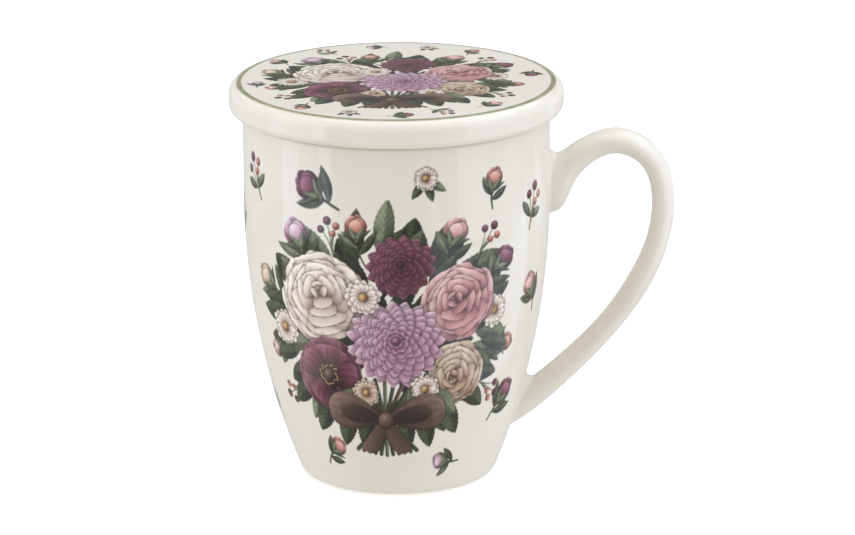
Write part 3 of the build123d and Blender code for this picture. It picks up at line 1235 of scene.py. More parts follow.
@dataclass(frozen=True)
class MugBody:
    """The turned body of the mug: upright below the rim, then one long curve to its foot."""

    height: float = 103.7
    mouth_radius: float = 42.5
    upright_wall: float = 23.7
    base_radius: float = 26.6
    base_rounding: float = 3.9
    wall: float = 3.6
    rim_rounding: float = 1.1
    floor_thickness: float = 5.0
    floor_rounding: float = 7.0
    foot_ring_width: float = 3.4
    foot_recess: float = 1.8
    foot_edge: float = 0.5
    segments: int = 256

    @property
    def curve_top(self) -> float:
        """Height where the upright wall ends."""
        return self.height - self.upright_wall

    @property
    def curve_radius(self) -> float:
        """Radius of the wall's curve, from its chord: (inset^2 + top^2) / (2 inset)."""
        inset = self.mouth_radius - self.base_radius
        return (inset**2 + self.curve_top**2) / (2 * inset)

    @property
    def curve_centre(self) -> float:
        """Distance of the curve's middle from the axis."""
        return self.mouth_radius - self.curve_radius

    def radius_at(self, height: Array | float, depth: float = 0.0) -> Array:
        """Radius of the wall at a height: a circle below the curve's top, upright above it."""
        below = np.maximum(self.curve_top - np.asarray(height, float), 0)
        return self.curve_centre + np.sqrt((self.curve_radius - depth) ** 2 - below**2)

    def meridian(self, points: Array) -> Pair:
        """Signed distance of points from the wall's outer surface, and its outward normals.

        Below the curve's top the distance is that from the curve's middle, less its radius.
        Above it, it is the distance from the axis, less the mouth's radius.

        Args:
            points: places in millimetres, in the last axis.

        Returns:
            Distances, positive outside, and unit normals.
        """
        flat = np.hypot(points[..., 0], points[..., 1])
        rise = np.minimum(points[..., 2] - self.curve_top, 0)
        out = flat - self.curve_centre
        reach = np.hypot(out, rise)
        across = points[..., :2] / flat[..., None] * (out / reach)[..., None]
        normal = np.concatenate([across, (rise / reach)[..., None]], axis=-1)
        return reach - self.curve_radius, normal

    def profile(self) -> Array:
        """Section from the middle of the foot's hollow, out, up, over the rim and down inside."""
        mouth, inside, top = self.mouth_radius, self.mouth_radius - self.wall, self.curve_top
        recess, base, bend = self.foot_recess, self.base_rounding, self.floor_rounding
        edge, rim, quarter = self.foot_edge, self.rim_rounding, np.pi / 2
        curve, floor = (self.curve_centre, top), recess + self.floor_thickness

        def heading(height: float, radius: float) -> float:
            """Angle from the curve's middle to a point on the wall."""
            return float(np.arctan2(height - top, radius - self.curve_centre))

        outer = float(self.radius_at(base, base))
        inner = outer - self.foot_ring_width
        base_turn = heading(base, outer)
        bend_radius = float(self.radius_at(floor + bend, self.wall + bend))
        bend_turn = heading(floor + bend, bend_radius)
        rim_low = self.height - rim
        return joined(
            line((0, recess), (inner - edge, recess)),
            arc((inner - edge, recess - edge), edge, quarter, 0, 0.1),
            arc((inner + edge, edge), edge, 2 * quarter, 3 * quarter, 0.1),
            line((inner + edge, 0), (outer, 0), 0.6),
            arc((outer, base), base, -quarter, base_turn, 0.25),
            arc(curve, self.curve_radius, base_turn, 0, 1.6),
            line((mouth, top), (mouth, rim_low), 1.6),
            arc((mouth - rim, rim_low), rim, 0, quarter, 0.16),
            arc((inside + rim, rim_low), rim, quarter, 2 * quarter, 0.16),
            line((inside, rim_low), (inside, top)),
            arc(curve, self.curve_radius - self.wall, 0, bend_turn, 2.0),
            arc((bend_radius, floor + bend), bend, bend_turn, -quarter, 0.6),
            line((bend_radius, floor), (0, floor)),
        )

    def build(self, porcelain: Material) -> None:
        """Makes the mug's body."""
        surface = turned(self.profile(), self.segments)
        make_piece("mug_porcelain", surface, porcelain, "mug", ("mug_body",))


@dataclass(frozen=True)
class Handle:
    """The strap handle, luted to the wall with a fillet of slip and glaze round each root."""

    mug: MugBody
    reach: float = 31.45
    crest_drop: float = 9.2
    low_height: float = 17.0
    width: float = 10.4
    thickness: float = 6.25
    # Each station gives across and up as shares, the heading in degrees and the thickness share.
    stations: tuple[tuple[float, float, float, float], ...] = (
        (-0.080, 0.843, 0, 2.80), (0.066, 0.854, 8, 2.51), (0.186, 0.914, 14, 1.53),
        (0.317, 0.963, 33, 1.17), (0.598, 1.000, 0, 1.13), (0.876, 0.941, -50, 1.05),
        (1.000, 0.779, -90, 1.00), (0.939, 0.615, -107, 1.00), (0.775, 0.467, -121, 1.04),
        (0.529, 0.325, -129, 1.00), (0.213, 0.189, -136, 1.07), (0.005, 0.112, -138, 1.14),
        (-0.224, 0.036, -143, 1.21), (-0.588, -0.058, -155, 1.22),
    )
    fillet: float = 0.9
    crotch_fillet: float = 2.4
    fillet_reach: float = 4.5
    fillet_rows: int = 12
    samples: int = 1601  # places along the strap, to find where it crosses the wall
    probe: float = 0.002  # share of the strap that tells its direction there
    around: int = 96
    rows: int = 190
    sunk: float = 0.3

    def track(self, share: Array) -> Array:
        """Middle line and section of the strap: one natural spline through the stations.

        Args:
            share: places from 0, in the upper root, to 1, in the lower root, along the chords.

        Returns:
            For each place x, z, heading in radians and half the thickness.
        """
        rise = self.mug.height - self.crest_drop - self.low_height
        across, up, heading, thick = np.array(self.stations, float).T
        x, z = self.mug.mouth_radius + across * self.reach, self.low_height + up * rise
        values = together(x, z, np.radians(heading), thick * self.thickness / 2)
        chord = np.linalg.norm(np.diff(values[:, :2], axis=0), axis=1)
        knots = np.concatenate([[0], np.cumsum(chord)])
        return natural_spline(knots / knots[-1], values, np.asarray(share, float))

    def section(self, share: Array, angle: Array) -> Pair:
        """Points and outward normals of the bare strap.

        A section is an oval square to the heading: its half width lies along Y and its half
        thickness along (-sin h, 0, cos h), where h is the heading.

        Args:
            share: places along the strap, in any shape.
            angle: places round the oval, in the same shape.

        Returns:
            Points and unit normals, with x, y and z in the last axis.
        """
        found = self.track(share.ravel()).reshape(*share.shape, 4)
        x, z, heading, half = (found[..., k] for k in range(4))
        up = together(-np.sin(heading), 0 * x, np.cos(heading))
        side = np.array([0.0, 1.0, 0.0])
        cosine, sine = np.cos(angle)[..., None], np.sin(angle)[..., None]
        middle = together(x, 0 * x, z)
        points = middle + side * cosine * self.width / 2 + up * sine * half[..., None]
        normals = unit(side * cosine / (self.width / 2) + up * sine / half[..., None])
        return points, normals

    def root(self, upper: bool, angle: Array) -> Pair:
        """The fillet of one root, as rows of points from the wall out to the strap.

        For each place round the oval, the strap's line crosses the wall at a corner. The
        fillet is the arc of a circle that touches the strap and the wall, both at radius /
        tan(half the angle between them) from the corner.

        Args:
            upper: whether it is the upper root.
            angle: places round the oval.

        Returns:
            Rows of points, and for each place round the oval where the bare strap starts.
        """
        samples = np.linspace(0, 1, self.samples)
        if not upper:
            samples = samples[::-1]
        share, turn = np.meshgrid(samples, angle, indexing="ij")
        distance = self.mug.meridian(self.section(share, turn)[0])[0]
        outside = np.argmax(distance > 0, axis=0)
        column = np.arange(len(angle))
        inner, outer = distance[outside - 1, column], distance[outside, column]
        cross = samples[outside - 1] + (samples[outside] - samples[outside - 1]) * inner / (inner - outer)
        corner, normal = self.section(cross, angle)
        step = self.probe if upper else -self.probe
        ahead = self.section(cross + step, angle)[0] - corner
        pace = np.linalg.norm(ahead, axis=-1) / abs(step)
        strap = unit(ahead)
        facing = self.mug.meridian(corner)[1]
        wall = unit(normal - np.sum(normal * facing, axis=-1, keepdims=True) * facing)
        half = np.arccos(np.clip(np.sum(strap * wall, axis=-1), -0.95, 0.95)) / 2
        crotch = np.sin(angle) if upper else -np.sin(angle)
        size = self.fillet + (self.crotch_fillet - self.fillet) * smooth_step(crotch, 0.2, 1.0)
        length = np.minimum(size / np.tan(half), self.fillet_reach)
        start = cross + np.sign(step) * length / pace
        on_strap = self.section(start, angle)[0]
        on_wall = corner + wall * length[:, None]
        off, facing = self.mug.meridian(on_wall)
        on_wall = on_wall - facing * off[:, None]
        weight, shares_along = np.sin(half)[:, None], np.linspace(0, 1, self.fillet_rows)[:-1]
        rows = [on_wall - facing * self.sunk]
        rows += [conic(on_wall, corner, on_strap, weight, along) for along in shares_along]
        return np.stack(rows), start

    def build(self, porcelain: Material) -> None:
        """Makes the handle: upper root, strap and lower root as one closed tube."""
        angle = np.linspace(0, TURN, self.around, endpoint=False)
        top, first = self.root(True, angle)
        bottom, last = self.root(False, angle)
        along = np.linspace(0, 1, self.rows)[:, None]
        share = first + (last - first) * along
        strap = self.section(share, np.broadcast_to(angle, share.shape))[0]
        rows = np.concatenate([top, strap, bottom[::-1]])
        count = len(rows) * self.around
        points = np.concatenate([rows.reshape(-1, 3), rows[[0, -1]].mean(axis=1)])
        faces = tuples(grid_faces(len(rows), self.around, False, True))
        faces += fan(count, 0, self.around, False) + fan(count + 1, count - self.around, self.around, True)
        surface = Surface(points, faces).outward()
        make_piece("handle_porcelain", surface, porcelain, "mug", ("mug_handle",))


@dataclass(frozen=True)
class Lid:
    """The flat lid, with a spigot that drops into the collar of the basket."""

    mug: MugBody
    sheet: float = 0.5
    overhang: float = 3.85
    edge_height: float = 7.9
    top_rounding: float = 3.2
    bottom_rounding: float = 2.3
    plate: float = 4.4
    spigot_radius: float = 36.7
    spigot_depth: float = 5.0
    spigot_wall: float = 3.0
    spigot_rounding: float = 0.8
    inside_rounding: float = 1.2
    segments: int = 256

    @property
    def seat(self) -> float:
        """Height of the lid's seat on the basket's flange."""
        return self.mug.height + self.sheet

    @property
    def top(self) -> float:
        """Height of the lid's flat top."""
        return self.seat + self.edge_height

    @property
    def radius(self) -> float:
        """Radius of the lid."""
        return self.mug.mouth_radius + self.overhang

    def height_at(self, radius: Array | float) -> Array:
        """Height of the lid's top at a radius: flat, then the quarter circle of its edge."""
        past = np.maximum(np.asarray(radius, float) - (self.radius - self.top_rounding), 0)
        return self.top - self.top_rounding + np.sqrt(self.top_rounding**2 - past**2)

    def profile(self) -> Array:
        """Section from the middle of the underside, round the spigot and the edge, to the top."""
        inner = self.spigot_radius - self.spigot_wall
        under = self.top - self.plate
        tip = self.seat - self.spigot_depth
        soft, hollow, tuck = self.spigot_rounding, self.inside_rounding, self.spigot_rounding / 2
        low, high = self.bottom_rounding, self.top_rounding
        outer, edge, seat, top, quarter = self.spigot_radius, self.radius, self.seat, self.top, np.pi / 2
        return joined(
            line((0, under), (inner - hollow, under)),
            arc((inner - hollow, under - hollow), hollow, quarter, 0, 0.2),
            line((inner, under - hollow), (inner, tip + soft)),
            arc((inner + soft, tip + soft), soft, 2 * quarter, 3 * quarter, 0.15),
            arc((outer - soft, tip + soft), soft, 3 * quarter, 4 * quarter, 0.15),
            line((outer, tip + soft), (outer, seat - tuck)),
            arc((outer + tuck, seat - tuck), tuck, 2 * quarter, quarter, 0.1),
            line((outer + tuck, seat), (edge - low, seat)),
            arc((edge - low, seat + low), low, -quarter, 0, 0.16),
            line((edge, seat + low), (edge, top - high), 0.8),
            arc((edge - high, top - high), high, 0, quarter, 0.16),
            line((edge - high, top), (0, top)),
        )

    def build(self, porcelain: Material) -> None:
        """Makes the lid."""
        surface = turned(self.profile(), self.segments)
        make_piece("lid_porcelain", surface, porcelain, "lid", ("lid",))


@dataclass(frozen=True)
class Basket:
    """The lift-out infuser basket: pressed collar, slotted wall and foot hoop, spot welded."""

    mug: MugBody
    sheet: float = 0.5
    flange_inset: float = 0.6
    neck_depth: float = 9.0
    step_height: float = 4.0
    depth: float = 65.0
    collar_lap: float = 3.0
    hoop_lap: float = 3.5
    hoop_lip: float = 2.5
    slot_width: float = 1.2
    slot_length: float = 11.0
    slot_bridge: float = 2.6
    slot_margin: float = 2.2
    slots_per_row: int = 24
    slot_across: int = 8  # stretches along the top of a slot's cell
    slot_upright: int = 6  # stretches along its side
    slot_layers: int = 3  # rows of faces between a slot and its cell's edge
    clearance: float = 0.9
    foot_clearance: float = 2.5
    lap_clearance: float = 0.05
    bends: tuple[float, float, float] = (1.1, 1.6, 1.3)
    hoop_bend: float = 0.2
    sharp_turn: float = 50.0  # degrees
    segments: int = 192

    @property
    def bottom(self) -> float:
        """Height of the underside of the basket."""
        return self.mug.height - self.depth

    @property
    def step_bottom(self) -> float:
        """Height of the foot of the collar's cone."""
        return self.mug.height - self.neck_depth - self.step_height

    @property
    def lap_inside(self) -> float:
        """Inner radius of the collar's skirt and of the hoop."""
        return float(self.mug.radius_at(self.bottom, self.mug.wall)) - self.foot_clearance - self.sheet

    def collar(self) -> Surface:
        """Flange, neck, cone and skirt, pressed from one sheet with round bends."""
        neck = self.mug.mouth_radius - self.mug.wall - self.clearance - self.sheet
        seat, tuck = self.mug.height + self.sheet, self.sheet / 2
        corners = [
            (self.mug.mouth_radius - self.flange_inset - tuck, seat),
            (neck, seat),
            (neck, self.mug.height - self.neck_depth),
            (self.lap_inside, self.step_bottom),
            (self.lap_inside, self.step_bottom - self.collar_lap + tuck),
        ]
        return turned(thickened(bent(corners, list(self.bends)), self.sheet), self.segments, True)

    def hoop(self) -> Surface:
        """Band round the foot of the wall, with the ledge that carries wall and floor."""
        ledge, tuck = self.bottom + self.sheet, self.sheet / 2
        corners = [
            (self.lap_inside, self.bottom + self.hoop_lap - tuck),
            (self.lap_inside, ledge),
            (self.lap_inside - self.lap_clearance - self.sheet - self.hoop_lip + tuck, ledge),
        ]
        return turned(thickened(bent(corners, [self.hoop_bend]), self.sheet), self.segments, True)

    def slot(self, radius: float) -> Pair:
        """One slot and the metal round it, from the slot's round-ended edge to its cell's edge.

        Both edges have the same number of points: the cell's top and bottom answer to the
        slot's half circles, and its sides to the slot's straight sides. Points between them
        lie at even shares.

        Args:
            radius: radius of the wall.

        Returns:
            Angles and heights from the cell's middle, and faces.
        """
        half_cell = np.array([np.pi / self.slots_per_row, (self.slot_length + self.slot_bridge) / 2])
        end, straight = self.slot_width / 2, (self.slot_length - self.slot_width) / 2
        across, upright, rows = self.slot_across, self.slot_upright, self.slot_layers + 1
        swing = np.linspace(np.pi, 0, across + 1)[:-1]
        fall = np.linspace(1, -1, upright + 1)[:-1]
        top = together(np.linspace(-1, 1, across + 1)[:-1], np.ones(across))
        side = together(np.ones(upright), fall)
        end_round = together(end * np.cos(swing) / radius, straight + end * np.sin(swing))
        flank = together(np.full(upright, end / radius), straight * fall)
        edge, hole = np.concatenate([top, side]), np.concatenate([end_round, flank])
        edge, hole = (np.concatenate([half, -half]) for half in (edge * half_cell, hole))
        share = np.linspace(0, 1, rows)[:, None, None]
        return (hole + (edge - hole) * share).reshape(-1, 2), grid_faces(rows, len(hole), False, True)

    def wall(self) -> Surface:
        """Sheet tube with staggered rows of round-ended slots.

        The rows fill the free height between the collar's and the hoop's laps, as many as
        fit, and plain bands close the rest. Points that cells share are made one.
        """
        radius = self.lap_inside - self.lap_clearance
        pitch = self.slot_length + self.slot_bridge
        low, high = self.bottom + self.sheet, self.step_bottom
        slots_low = self.bottom + self.hoop_lap + self.slot_margin
        slots_high = high - self.collar_lap - self.slot_margin
        rows = int((slots_high - slots_low + self.slot_bridge) // pitch)
        first = (slots_low + slots_high - (rows - 1) * pitch) / 2
        cell, cell_faces = self.slot(radius)
        flats, faces, count = [], [], 0
        for row in range(rows):
            for column in range(self.slots_per_row):
                turn = TURN / self.slots_per_row * (column + 0.5 * (row % 2))
                flats.append(cell + [turn, first + row * pitch])
                faces.append(cell_faces + count)
                count += len(cell)
        around = self.slots_per_row * self.slot_across
        for bottom, top in ((low, first - pitch / 2), (first + (rows - 0.5) * pitch, high)):
            levels, turns = np.linspace(bottom, top, 4), np.arange(around) * TURN / around
            height, turn = np.meshgrid(levels, turns, indexing="ij")
            flats.append(together(turn.ravel(), height.ravel()))
            faces.append(grid_faces(4, around, False, True) + count)
            count += height.size
        flat = np.concatenate(flats)
        key = np.round(together(np.degrees(flat[:, 0]), flat[:, 1]) * 1000).astype(int)
        key[:, 0] %= 360000
        _, chosen, which = np.unique(key, axis=0, return_index=True, return_inverse=True)

        def on_tube(places: Array, depth: float) -> Array:
            """Points of the tube at a depth under its face."""
            return polar(radius - depth, places[:, 0], places[:, 1])

        return pierced(flat[chosen], which.ravel()[np.concatenate(faces)], self.sheet, on_tube)

    def build(self, steel: Material) -> None:
        """Makes the collar, the wall and the hoop, with crisp edges where the sheet ends."""
        for part, surface in (("collar", self.collar()), ("wall", self.wall()), ("hoop", self.hoop())):
            nodes = (f"infuser_{part}",)
            piece = make_piece(f"steel_{part}", surface, steel, "infuser", nodes)
            piece.data.set_sharp_from_angle(angle=np.radians(self.sharp_turn))


# ---- Transfers on the pieces ---------------------------------------------------
@dataclass(frozen=True)
class Spot:
    """Where a motif goes on a piece: its middle in flat millimetres, turn and size."""

    u: float
    v: float
    turn: float = 0.0
    scale: float = 1.0


@dataclass
class Cutting:
    """A transfer cut out round its ink.

    It holds flat places in millimetres, colours, covers, faces, and shares of the sheet
    across and up, from 0 to 1.
    """

    flat: Array
    colour: Array
    cover: Array
    faces: Array
    share: Array

    @classmethod
    def of(cls, sheet: Sheet, spot: Spot, pitch: float) -> "Cutting":
        """Cuts a sheet's ink out on a grid.

        The grid is square, with its lines a pitch apart on the piece. Every face that touches
        ink stays, with one face more round it, and the rest is cut away.

        Args:
            sheet: the printed sheet.
            spot: where it goes.
            pitch: distance between the grid's lines in millimetres.

        Returns:
            The cutting, laid at its spot.
        """
        columns, rows = (int(size * spot.scale / pitch) for size in (sheet.width, sheet.height))
        u = (np.arange(columns + 1) - columns / 2) * pitch
        v = (np.arange(rows + 1) - rows / 2) * pitch
        u, v = np.meshgrid(u, v)
        spread = pitch / spot.scale
        colour, cover = sheet.read(u / spot.scale, v / spot.scale, spread)
        wide, _ = sheet.read(u / spot.scale, v / spot.scale, 4 * spread)
        colour = np.where(cover[..., None] > 0.02, colour, wide)
        inked = cover > 0.01
        near = np.pad(inked, 2)
        kept = np.zeros_like(inked)
        for down in range(5):
            for right in range(5):
                kept |= near[down : down + rows + 1, right : right + columns + 1]
        faces = grid_faces(rows + 1, columns + 1)
        faces = faces[kept.ravel()[faces].all(axis=1)]
        used, faces = np.unique(faces, return_inverse=True)
        across, up = u.ravel()[used], v.ravel()[used]
        flat = together(*rotated(across, up, spot.turn)) + (spot.u, spot.v)
        share = together(across / (sheet.width * spot.scale), up / (sheet.height * spot.scale)) + 0.5
        return cls(flat, colour.reshape(-1, 3)[used], cover.ravel()[used], faces.reshape(-1, 4), share)

    @classmethod
    def joined(cls, cuttings: list["Cutting"]) -> "Cutting":
        """Several cuttings as one; their sheets lie side by side in a square of cells."""
        starts = np.cumsum([0] + [len(cutting.flat) for cutting in cuttings[:-1]])
        side = int(np.ceil(np.sqrt(len(cuttings))))
        rows = []
        for index, (cutting, start) in enumerate(zip(cuttings, starts)):
            cell = np.array([index % side, index // side])
            share = (cell + CELL_MARGIN + (1 - 2 * CELL_MARGIN) * cutting.share) / side
            rows.append((cutting.flat, cutting.colour, cutting.cover, cutting.faces + start, share))
        return cls(*(np.concatenate(column) for column in zip(*rows)))


@dataclass(frozen=True)
class Transfers:
    """The printed decoration: posies and sprigs on the wall and the lid, and the lid's line."""

    mug: MugBody
    lid: Lid
    pitch: float = 0.235
    lid_pitch: float = 0.19
    lift: float = 0.022
    tuck: float = 0.012
    full_lift: float = 0.25  # mean cover beside a place from which it lies fully over the glaze
    line_radius: float = 43.5
    line_width: float = 1.75
    line_points: int = 512
    line_ink: str = "#82894A"
    front_turn: float = -5.5  # degrees round the mug, 0 at the front
    posy_height: float = 51.0
    lid_scale: float = 0.84
    ink_depth: float = 1.2  # fired colours sink: linear share to this power
    ink_gain: float = 1.15
    ink_dust: float = 0.22  # share of grey in every colour

    @property
    def per_degree(self) -> float:
        """Millimetres round the mouth in one degree."""
        return np.pi / 180 * self.mug.mouth_radius

    def on_wall(self, cutting: Cutting) -> Pair:
        """Wraps flat places round the wall: across / mouth radius is the angle from the front,
        and up is the height.

        Args:
            cutting: the transfer.

        Returns:
            Points, and the wall's outward normals there.
        """
        angle = cutting.flat[:, 0] / self.mug.mouth_radius - np.pi / 2
        height = cutting.flat[:, 1]
        points = polar(self.mug.radius_at(height), angle, height)
        return points, self.mug.meridian(points)[1]

    def on_lid(self, cutting: Cutting) -> Pair:
        """Lays flat places on the lid's top, and gives its normals: upright on the flat, and
        leaning out by the sine past / rounding where the edge curves down."""
        far = np.hypot(*cutting.flat.T)[:, None]
        points = np.concatenate([cutting.flat, self.lid.height_at(far)], axis=1)
        lean = np.maximum(far - self.lid.radius + self.lid.top_rounding, 0) / self.lid.top_rounding
        outward = cutting.flat / np.maximum(far, 1e-6)
        return points, np.concatenate([outward * lean, np.sqrt(1 - lean**2)], axis=1)

    def lay(
        self, name: str, cutting: Cutting, wrap: Callable[[Cutting], Pair],
        ink_material: Material, body: str,
    ) -> None:
        """Makes a transfer a piece: inked places lie just over the glaze, and the cut edge is
        tucked just under it, so that no rim shows. It keeps the glaze's own normals.

        Args:
            name: name of the piece.
            cutting: the transfer.
            wrap: gives points and normals on the porcelain for the flat places.
            ink_material: the print's material.
            body: the body that it moves with.
        """
        points, normals = wrap(cutting)
        corner, size = cutting.faces.ravel(), len(points)
        around = np.repeat(cutting.cover[cutting.faces].mean(axis=1), 4)
        beside = np.bincount(corner, around, size) / np.maximum(np.bincount(corner, minlength=size), 1)
        share = smooth_step(beside, 0.0, self.full_lift)
        points = points + normals * ((self.lift + self.tuck) * share - self.tuck)[:, None]
        piece = make_piece(name, Surface(points, tuples(cutting.faces)), ink_material, body)
        ink = piece.data.color_attributes.new(INK, "FLOAT_COLOR", "POINT")
        paint = np.minimum(self.ink_gain * linearised(cutting.colour) ** self.ink_depth, 1.0)
        paint = paint + self.ink_dust * (paint.mean(axis=1, keepdims=True) - paint)
        ink.data.foreach_set("color", np.concatenate([paint, cutting.cover[:, None]], axis=1).ravel())
        sheet_map = piece.data.uv_layers.new(name="OFBake")
        sheet_map.data.foreach_set("uv", cutting.share[corner].ravel())
        piece.data.normals_split_custom_set_from_vertices(normals.tolist())

    def line(self, ink_material: Material) -> None:
        """The green line round the lid's top, as a thin banded ring with soft edges."""
        across = np.linspace(-0.5, 0.5, 9)
        angle = np.linspace(0, TURN, self.line_points, endpoint=False)
        radius, turn = np.meshgrid(self.line_radius + across * self.line_width, angle, indexing="ij")
        flat = polar(radius, turn).reshape(-1, 2)
        soft = 1 - smooth_step(np.abs(across) * 2, 0.62, 0.95)
        brush = 0.86 + 0.08 * ripple(turn * 9, 0.4) + 0.06 * ripple(turn * 31, 2.2)
        cover = (soft[:, None] * brush).ravel()
        colour = np.tile(shares(self.line_ink), (len(flat), 1))
        faces = grid_faces(len(across), len(angle), False, True)[:, ::-1]
        cutting = Cutting(flat, colour, cover, faces, flat / (2.1 * self.line_radius) + 0.5)
        self.lay("lid_green_line", cutting, self.on_lid, ink_material, "lid")

    def wall_sprigs(self) -> list[tuple[Sprig, Spot]]:
        """Sprigs round the wall: degrees from the front, height, turn and size of each."""
        places = (
            (Sprig.WINE_BUD, -30, 89.5, 0.9, 1.45), (Sprig.ASTER, 11, 94.0, 0.2, 1.05),
            (Sprig.CORAL_BUD, 38, 90.0, -0.3, 1.15), (Sprig.BERRIES, 61, 82.0, -0.4, 1.15),
            (Sprig.ROSE_BUD, 64, 56.0, 0.4, 1.15), (Sprig.WINE_BUD, 51, 26.0, -0.8, 1.30),
            (Sprig.MAUVE_BUD, 25, 10.5, 1.3, 1.15), (Sprig.CORAL_BUD, -34, 13.0, -1.0, 1.15),
            (Sprig.BERRIES, -65, 90.0, 0.3, 1.15), (Sprig.ROSE_BUD, -86, 74.0, -0.3, 1.30),
            (Sprig.ASTER, -89, 49.0, 0.9, 1.10), (Sprig.MAUVE_BUD, -78, 22.0, 0.6, 1.20),
            (Sprig.MAUVE_BUD, -112, 91.5, 0.5, 1.25), (Sprig.BERRIES, -105, 29.0, -0.8, 1.10),
            (Sprig.CORAL_BUD, -148, 91.5, 0.2, 1.20), (Sprig.WINE_BUD, -150, 12.0, 1.1, 1.20),
            (Sprig.ASTER, 172, 94.0, 0.1, 1.05), (Sprig.ROSE_BUD, 146, 90.0, -0.5, 1.30),
            (Sprig.CORAL_BUD, 117, 60.0, 0.4, 1.20), (Sprig.BERRIES, 121, 86.0, 0.6, 1.15),
            (Sprig.MAUVE_BUD, 129, 27.0, -0.5, 1.20), (Sprig.ASTER, 155, 11.0, 0.3, 1.00),
        )
        return [
            (sprig, Spot(way * self.per_degree, height, *rest)) for sprig, way, height, *rest in places
        ]

    def lid_sprigs(self) -> list[tuple[Sprig, Spot]]:
        """Sprigs in a ring on the lid: degrees round it, distance from its middle, turn, size."""
        places = (
            (Sprig.WINE_BUD, 11, 38.5, 2.9, 0.68), (Sprig.CORAL_BUD, 56, 37.5, -0.6, 0.68),
            (Sprig.ASTER, 76, 37.5, 0.3, 0.62), (Sprig.MAUVE_BUD, 98, 38.0, 1.4, 0.65),
            (Sprig.BERRIES, 121, 37.5, 0.6, 0.70), (Sprig.ROSE_BUD, 147, 38.0, 0.7, 0.66),
            (Sprig.MAUVE_BUD, 186, 38.5, -0.2, 0.68), (Sprig.CORAL_BUD, 228, 37.5, 2.6, 0.72),
            (Sprig.ASTER, 250, 37.5, 0.0, 0.70), (Sprig.WINE_BUD, 271, 38.5, -1.4, 0.72),
            (Sprig.BERRIES, 290, 36.5, -2.4, 0.75), (Sprig.ROSE_BUD, 312, 37.5, -0.9, 0.72),
        )
        return [
            (sprig, Spot(*polar(far, np.radians(way)), *rest)) for sprig, way, far, *rest in places
        ]

    def build(self, ink_material: Material) -> None:
        """Prints the sheets and lays every transfer."""
        posy = Posy().paint()
        sprigs = {sprig: sprig.paint() for sprig in Sprig}
        for name, degrees in (("front_posy", self.front_turn), ("back_posy", 180.0)):
            cutting = Cutting.of(posy, Spot(degrees * self.per_degree, self.posy_height), self.pitch)
            self.lay(name, cutting, self.on_wall, ink_material, "mug")
        cutting = Cutting.of(posy, Spot(-1.0, 0.5, 0.0, self.lid_scale), self.lid_pitch)
        self.lay("lid_posy", cutting, self.on_lid, ink_material, "lid")
        for name, spots, wrap, pitch, body in (
            ("wall_sprigs", self.wall_sprigs(), self.on_wall, self.pitch, "mug"),
            ("lid_sprigs", self.lid_sprigs(), self.on_lid, self.lid_pitch, "lid"),
        ):
            cuttings = [Cutting.of(sprigs[sprig], spot, pitch) for sprig, spot in spots]
            self.lay(name, Cutting.joined(cuttings), wrap, ink_material, body)
        self.line(ink_material)


